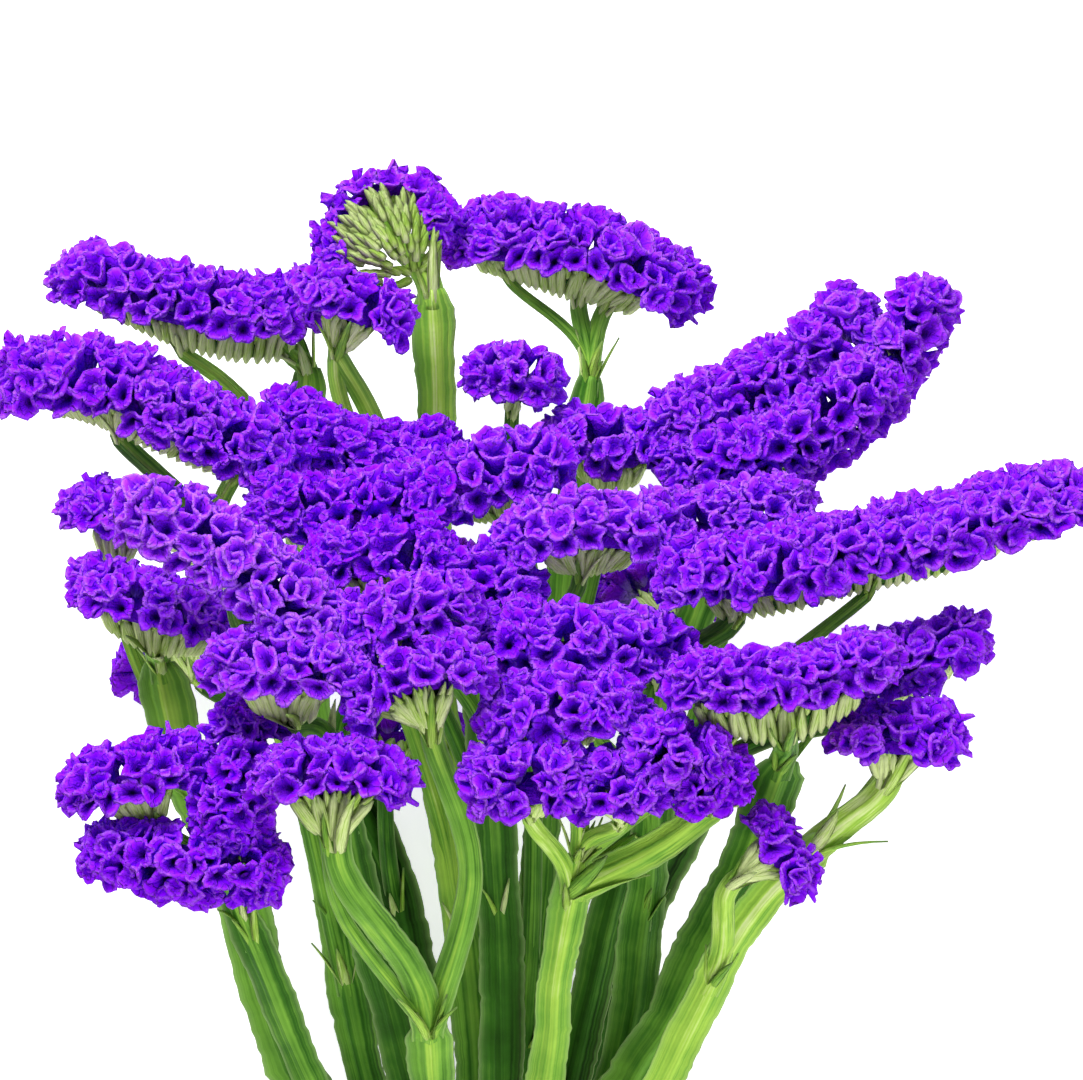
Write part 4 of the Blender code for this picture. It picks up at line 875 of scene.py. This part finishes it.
def calyces(skin, roots, ways, sides, lengths, rims, tones, corners, rng):
    """Papery funnels with a pleated, ruffled rim.

    Rings run from the foot up the outside to the rim, over it, and back down the inside to the throat.
    A ring's radius is the rim's times a flare. Round it, frills, slower swells and a small crush, a random
    number for each corner, are added up. They grow towards the rim, both outwards and along the funnel.
    """
    count = len(roots)
    v = np.linspace(0, 2 * np.pi, corners, endpoint=False)
    phase = rng.uniform(0, 2 * np.pi, (6, count, 1, 1))
    crush = rng.normal(0, 1, (2, count, 1, corners))
    frills = rng.integers(*FRILLS, (count, 1, 1))
    wave = FUNNEL_WAVE[None, :, None] * rng.uniform(*WAVE_RANGE, (count, 1, 1))
    frill = np.cos(frills * v + phase[0])
    swell = np.cos(2 * v + phase[1]) + np.cos(3 * v + phase[2])
    radius = rims[:, None, None] * (FUNNEL_FLARE[None, :, None]
                                    * (1 + wave * (FRILL_OUT * frill + SWELL_OUT * swell + CRUSH_OUT * crush[0])))
    sway = np.sin(frills * v + phase[0] + phase[4]) + np.cos(2 * v + phase[5])
    rise = lengths[:, None, None] * FUNNEL_RISE[None, :, None] + rims[:, None, None] * wave * (
        SWAY_ALONG * sway + CRUSH_ALONG * crush[1])
    v = v + PLEAT_LEAN * wave * np.sin(frills * v + phase[0] + phase[3])
    others = np.cross(ways, sides) * rng.uniform(*SQUASH, (count, 1))
    rings = (roots[:, None, None] + ways[:, None, None] * rise[..., None]
             + (sides[:, None, None] * np.cos(v)[..., None] + others[:, None, None] * np.sin(v)[..., None])
             * radius[..., None])
    skin.add(rings, tones, FUNNEL_REACH)


def core(skin, spike, name):
    """The close-packed feet of the flowers, as a low round body along the spine."""
    spine = even(spine_of(spike), CORE_STEP, 5)
    shares = np.linspace(0, 1, len(spine))
    _, facing, side = frame_at(spike, spine, shares)
    ends = np.sqrt(np.clip(1 - (2 * shares - 1) ** 8, 0.1, 1))
    v = np.linspace(0, 2 * np.pi, 12, endpoint=False)
    half, middle, rise = CORE_ROUND
    wide, high = half * np.cos(v), middle + rise * np.sin(v)
    out = side[:, None] * wide[:, None] + facing[:, None] * high[:, None]
    rings = spine[:, None] + out * ends[:, None, None]
    shape = rings.shape
    centres = np.repeat(spine + 0.5 * facing, len(v), axis=0)
    drawn = give_way(rings.reshape(-1, 3), centres, name)[:, None]
    rings = (centres + (rings.reshape(-1, 3) - centres) * drawn).reshape(shape)
    skin.add(rings[None], CORE_TONE, np.full(len(spine), 0.1))


def grow_flowers(name, spike, number):
    """One violet piece: all the calyces of a spike, in rows across its spine that lean out past both ends."""
    rng = np.random.default_rng([SEED, 100 + number])
    skin = Skin()
    core(skin, spike, name)
    spine = spine_of(spike)
    length = length_of(spine)
    rows = max(4, round((length + 2 * END_WRAP) / CALYX_ROW))
    places = np.linspace(-END_WRAP, length + END_WRAP, rows)
    leans = END_LEAN * (np.minimum(places, 0) + np.maximum(places - length, 0)) / END_WRAP
    roots, ways, sides, faces = [], [], [], []
    for i, (place, lean) in enumerate(zip(places, leans)):
        share = min(max(place / length, 0), 1)
        along, facing, side = frame_at(spike, spine, share)
        tip = math.radians(lean)
        upright = facing * math.cos(tip) + along * math.sin(tip)
        spread = CALYX_SPREAD - LEANING_SPREAD * abs(lean)
        count = max(2, round(math.radians(2 * spread) * spike.reach * PITCH_HEIGHT / CALYX_PITCH) + i % 2)
        turn = np.radians(np.linspace(-spread, spread, count) + stray(rng, TURN_STRAY, count))[:, None]
        way = upright * np.cos(turn) + side * np.sin(turn)
        way = unit(way + along * stray(rng, LEAN_STRAY, (count, 1)) + side * stray(rng, SIDE_STRAY, (count, 1)))
        roots.append(at_share(spine, share) + ROOT_HEIGHT * facing + along * stray(rng, PLACE_STRAY, (count, 1)))
        ways.append(way)
        sides.append(unit(np.cross(way, rng.normal(size=(count, 3)))))
        faces.append(np.tile(facing, (count, 1)))
    roots, ways, sides = np.vstack(roots), np.vstack(ways), np.vstack(sides)
    count = len(roots)
    turned_away = 1 - (ways * np.vstack(faces)).sum(axis=-1) ** 2
    reaches = spike.reach * rng.uniform(*REACH_RANGE, count) * (1 - SIDE_NARROWING * turned_away)
    shares = give_way(roots + ways * reaches[:, None], roots, name)
    kept = shares > LEAST_SHARE
    roots, ways, sides, reaches, shares = [part[kept] for part in (roots, ways, sides, reaches, shares)]
    reaches = reaches * shares
    foot = np.minimum(FOOT_HEIGHT, FOOT_SHARE * reaches)
    rims = CALYX_RIM * rng.uniform(*RIM_RANGE, len(roots)) * np.clip(shares + 0.15, 0.6, 1)
    # The spike's tone is partly its own colour and partly painted light.
    tones = np.clip(SPIKE_TONES.get(name, SPIKE_TONE) + rng.normal(0, TONE_NOISE, len(roots)), 0, 1)
    corners = REAR_CORNERS if spike.stem.startswith("stem_rear") else CALYX_CORNERS
    calyces(skin, roots + ways * foot[:, None], ways, sides, reaches - foot, rims, tones, corners, rng)
    return skin


def twisted(skin, path, tone):
    """A cord of strands: round its section the radius swells once for each, and along the cord the section turns
    once in each length of lay."""
    side, lift = across(unit(np.gradient(path, axis=0)), (0.0, 1.0, 0.12))
    v = np.linspace(0, 2 * np.pi, CORD_CORNERS, endpoint=False)
    size = TWINE_RADIUS * (1 - STRAND_DEPTH + STRAND_DEPTH * np.cos(STRANDS * v))
    angle = v + (2 * np.pi * run_of(path) / CORD_LAY)[:, None]
    out = side[:, None] * np.cos(angle)[..., None] + lift[:, None] * np.sin(angle)[..., None]
    rings = path[:, None] + out * size[None, :, None]
    # Reach runs from the grooves between the strands to their crests; the twine's colour darkens in the grooves as
    # painted shade.
    skin.add(rings[None], tone, np.broadcast_to(0.5 + 0.5 * np.cos(STRANDS * v), rings.shape[:2]))


def loop_through(points, count):
    """A closed Catmull-Rom curve through points, with count steps from each to the next."""
    shifted = [np.roll(points, by, axis=0)[:, None] for by in (1, 0, -1, -2)]
    return spline(*shifted, (np.arange(count) / count)[None, :, None]).reshape(-1, 3)


def tie():
    """The twine: five turns round the stems as one spiral, a knot on top that is a small trefoil, and two ends."""
    rng = np.random.default_rng([SEED, 500])
    skin = Skin()
    outline = np.array(TIE_OUTLINE + [(-x, z) for x, z in TIE_OUTLINE[:0:-1]])
    loop = loop_through(np.stack([outline[:, 0], 0 * outline[:, 0], outline[:, 1]], axis=1), 8)
    run = unit(np.roll(loop, -1, axis=0) - np.roll(loop, 1, axis=0))
    loop = loop + TWINE_RADIUS * np.stack([run[:, 2], 0 * run[:, 0], -run[:, 0]], axis=1)
    steps = np.arange(TWINE_TURNS * len(loop))
    spiral = loop[steps % len(loop)]
    spiral[:, 1] += (steps / len(loop) - TWINE_TURNS / 2) * TWINE_PITCH * TURN_CLOSENESS
    twisted(skin, spiral, 0.5)
    t = np.linspace(0, 2 * np.pi, 60)
    knot = np.stack([np.sin(t) + 2 * np.sin(2 * t), np.cos(t) - 2 * np.cos(2 * t), -np.sin(3 * t)], axis=1)
    knot = knot * KNOT_SIZE
    twisted(skin, knot + KNOT_PLACE, 0.6)
    for i, end in enumerate(KNOT_ENDS):
        path = smooth([np.add(KNOT_PLACE, point) for point in end], 0.8)
        twisted(skin, path, 0.4 + 0.2 * i)
        way = unit(path[-1] - path[-3])
        ways = unit(way + rng.normal(0, FRAY_SPREAD, (FRAY_HAIRS, 3)))
        outs, lengths = rng.normal(size=(FRAY_HAIRS, 3)), rng.uniform(*FRAY_LENGTH, FRAY_HAIRS)
        blades(skin, np.tile(path[-1] - way, (FRAY_HAIRS, 1)), ways, outs, lengths, np.full(FRAY_HAIRS, FRAY_HALF),
               stray(rng, FRAY_CURL, FRAY_HAIRS), np.full(FRAY_HAIRS, 0.8), rng)
    return skin


class Finish:
    """A node material in the making. Most methods add a node or a few, and give back what comes out of them.

    A surface is (roughness, specular level, the bump's depth in metres).
    """

    def __init__(self, name, surface):
        self.material = bpy.data.materials.new(name)
        self.material.use_nodes = True
        self.tree = self.material.node_tree
        self.shader = self.tree.nodes["Principled BSDF"]
        roughness, gloss, self.depth = surface
        self.shader.inputs["Roughness"].default_value = roughness
        self.shader.inputs["Specular IOR Level"].default_value = gloss

    def node(self, kind, **inputs):
        made = self.tree.nodes.new(kind)
        for title, value in inputs.items():
            self.join(value, made.inputs[title])
        return made

    def join(self, value, socket):
        if isinstance(value, bpy.types.NodeSocket):
            self.tree.links.new(value, socket)
        else:
            socket.default_value = value

    def attribute(self, title):
        made = self.tree.nodes.new("ShaderNodeAttribute")
        made.attribute_name = title
        return made.outputs["Fac"]

    def ramp(self, value, stops):
        """Colours at places from 0 to 1, blended between."""
        made = self.node("ShaderNodeValToRGB", Fac=value)
        for i, (place, colour) in enumerate(stops):
            stop = made.color_ramp.elements[i] if i < 2 else made.color_ramp.elements.new(place)
            stop.position, stop.color = place, (*colour, 1.0)
        return made.outputs["Color"]

    def noise(self, place, scale, detail):
        """Clouds from 0 to 1, scale of them to a metre or to one unit of place."""
        return self.node("ShaderNodeTexNoise", Vector=place, Scale=scale, Detail=detail).outputs["Fac"]

    def math(self, operation, *values):
        made = self.tree.nodes.new("ShaderNodeMath")
        made.operation = operation
        for socket, value in zip(made.inputs, values):
            self.join(value, socket)
        return made.outputs["Value"]

    def swayed(self, share, noise, by):
        """The share, moved up and down by the noise, whose middle is 0.5."""
        return self.math("ADD", share, self.math("MULTIPLY", self.math("SUBTRACT", noise, 0.5), by))

    def blended(self, one, its_share, other, other_share):
        """The sum of two values, each times its share."""
        return self.math("ADD", self.math("MULTIPLY", one, its_share), self.math("MULTIPLY", other, other_share))

    def mix(self, share, low, high):
        made = self.tree.nodes.new("ShaderNodeMix")
        made.data_type = "RGBA"
        for title, value in (("Factor", share), ("A", low), ("B", high)):
            kind = "NodeSocketFloatFactor" if title == "Factor" else "NodeSocketColor"
            socket = next(s for s in made.inputs if s.name == title and s.bl_idname == kind)
            self.join((*value, 1.0) if isinstance(value, tuple) else value, socket)
        return next(s for s in made.outputs if s.bl_idname == "NodeSocketColor")

    def scaled(self, place, scale):
        made = self.tree.nodes.new("ShaderNodeVectorMath")
        made.operation = "MULTIPLY"
        self.join(place, made.inputs[0])
        made.inputs[1].default_value = scale
        return made.outputs["Vector"]

    def skin_place(self):
        made = self.tree.nodes.new("ShaderNodeUVMap")
        made.uv_map = "skin"
        return made.outputs["UV"]

    def object_place(self):
        return self.tree.nodes.new("ShaderNodeTexCoord").outputs["Object"]

    def peak(self, value, narrowness):
        """1 where the value is 0, falling off to 0 at 1 / narrowness."""
        return self.math("MAXIMUM", self.math("SUBTRACT", 1.0, self.math("MULTIPLY", value, narrowness)), 0.0)

    def finish(self, colour, height):
        """Joins the colour, and the height as a bump as deep as the surface's."""
        bump = self.node("ShaderNodeBump", Height=height, Distance=self.depth, Strength=1.0)
        self.join(colour, self.shader.inputs["Base Color"])
        self.join(bump.outputs["Normal"], self.shader.inputs["Normal"])
        return self.material


def calyx_paper():
    """Dry violet paper: painted shade darkens it down the inside to the throat, and the lilac at the rim is partly
    the paper's own paler edge and partly a painted highlight. It has fine ribs up the funnel and a crumpled skin,
    whose folds are bumps and painted highlights.
    """
    paper = Finish("calyx paper", PAPER)
    place = paper.object_place()
    ribs = paper.noise(paper.scaled(paper.skin_place(), RIBS), 1.0, 1.0)
    clouds, crepe = paper.noise(place, PAPER_CLOUDS, 3.0), paper.noise(place, CREPE, 1.5)
    # In both palettes the colour at the throat is painted shade, and the rim's is partly the paper's paler edge
    # and partly a painted highlight.
    colours = [(VIOLET_THROAT_SHADE, VIOLET_FOOT, VIOLET_WALL, VIOLET_FRILL, VIOLET_RIM),
               (VIOLET_WALL, LILAC_FOOT, LILAC_WALL, LILAC_FRILL, LILAC_RIM)]
    deep, pale = [paper.ramp(paper.attribute("reach"), [
        (0.0, throat_shade), (1.0, foot), (0.2, wall), (0.42, frill), (0.5, rim), (0.58, frill), (0.8, wall)])
        for throat_shade, foot, wall, frill, rim in colours]
    # The folds make the bump, and they lighten the colour as painted highlights.
    fold_bump_and_highlight = paper.peak(paper.math("ABSOLUTE", paper.math("SUBTRACT", crepe, 0.5)), CREPE_SHARPNESS)
    share = paper.swayed(paper.attribute("tone"), clouds, PAPER_CLOUD_SHARE)
    share = paper.blended(paper.math("SUBTRACT", share, PAPER_DARKER), 1.0, fold_bump_and_highlight, CREPE_HIGHLIGHT_SHARE)
    colour = paper.mix(paper.math("MINIMUM", paper.math("MAXIMUM", share, 0.0), 1.0), deep, pale)
    return paper.finish(colour, paper.blended(ribs, 0.5, fold_bump_and_highlight, 0.5))


def stem_green():
    """Plant skin: each stem's own green, streaked along its length, paler at the wings' margins and tips."""
    skin = Finish("stem skin", PLANT)
    reach, place = skin.attribute("reach"), skin.object_place()
    streaks = skin.noise(skin.scaled(skin.skin_place(), STREAKS), 1.0, 3.0)
    clouds, grain = skin.noise(place, STEM_CLOUDS, 3.0), skin.noise(place, STEM_GRAIN, 2.0)
    share = skin.swayed(skin.attribute("tone"), streaks, STREAK_SHARE)
    share = skin.swayed(share, clouds, STEM_CLOUD_SHARE)
    share = skin.blended(share, 1.0, skin.peak(reach, MIDRIB_NARROWNESS), MIDRIB_SHARE)
    green = skin.ramp(share, [(0.0, GREEN_DEEP), (1.0, GREEN_BRACT), (0.3, GREEN_MIDDLE), (0.55, GREEN_PALE),
                              (0.78, GREEN_BRIGHT)])
    edge = skin.math("MULTIPLY", skin.math("POWER", reach, MARGIN_NARROWNESS), MARGIN_SHARE)
    return skin.finish(skin.mix(edge, green, GREEN_MARGIN), skin.blended(streaks, 0.8, grain, 0.2))


def twine_fibre():
    """Jute: brown strands with fine fibres that follow their twist, darker in the grooves between the strands as
    painted shade.
    """
    fibre = Finish("twine fibre", JUTE)
    fibres = fibre.noise(fibre.scaled(fibre.skin_place(), FIBRES), 1.0, 2.0)
    # Painted shade: darker in the grooves between the strands.
    share = fibre.blended(fibre.attribute("reach"), 0.5, fibres, 0.6)
    colour = fibre.ramp(share, [(0.0, TWINE_DARK), (1.0, TWINE_LIGHT)])
    return fibre.finish(colour, fibre.blended(fibres, 1.0, fibre.attribute("tone"), 0.1))


def aim(obj, target):
    """Turns a light so that it shines at the target."""
    way = np.array(target) - np.array(obj.location)
    flat = math.hypot(way[0], way[1])
    obj.rotation_euler = (math.atan2(flat, -way[2]), 0, math.atan2(way[1], way[0]) - math.pi / 2)


def softbox(name, place, target, size, power):
    light = bpy.data.lights.new(name, "AREA")
    light.shape, light.size, light.energy = "SQUARE", size, power
    obj = bpy.data.objects.new(name, light)
    obj.location = place
    aim(obj, target)
    bpy.context.scene.collection.objects.link(obj)


def studio():
    """A near-white floor, soft light from all round, two softboxes, and the camera over the bunch."""
    bpy.ops.mesh.primitive_grid_add(x_subdivisions=2, y_subdivisions=2, size=FLOOR_SIZE)
    floor = bpy.context.object
    floor.name = "floor"
    white = Finish("floor white", PLAIN)
    white.shader.inputs["Base Color"].default_value = FLOOR_WHITE
    white.shader.inputs["Emission Color"].default_value = WHITE
    white.shader.inputs["Emission Strength"].default_value = FLOOR_GLOW
    floor.data.materials.append(white.material)
    world = bpy.data.worlds.new("studio")
    world.use_nodes = True
    sky = world.node_tree.nodes["Background"]
    sky.inputs["Color"].default_value = WHITE
    sky.inputs["Strength"].default_value = SKY_STRENGTH
    bpy.context.scene.world = world
    softbox("key", KEY_PLACE, KEY_TARGET, KEY_SIZE, KEY_POWER)
    softbox("fill", FILL_PLACE, FILL_TARGET, FILL_SIZE, FILL_POWER)
    camera = bpy.data.objects.new("camera", bpy.data.cameras.new("camera"))
    camera.data.sensor_width = SENSOR
    camera.data.lens = FOCAL_PIXELS / IMAGE_WIDTH * SENSOR
    camera.location = CAMERA_PLACE
    bpy.context.scene.collection.objects.link(camera)
    bpy.context.scene.camera = camera
    bpy.context.scene.view_settings.view_transform = "Standard"


def dress(piece, node):
    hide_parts(node)
    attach(piece, "root")


def main():
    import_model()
    lay_out()
    green, violet, brown = stem_green(), calyx_paper(), twine_fibre()
    for number, (name, stem) in enumerate(STEMS.items()):
        dress(grow_stem(name, stem, number).piece("green_" + name, green), name)
    for number, (name, spike) in enumerate(SPIKES.items()):
        dress(grow_flowers(name, spike, number).piece("calyces_" + name, violet), name)
    dress(tie().piece("twine", brown), "twine_tie")
    studio()


main()
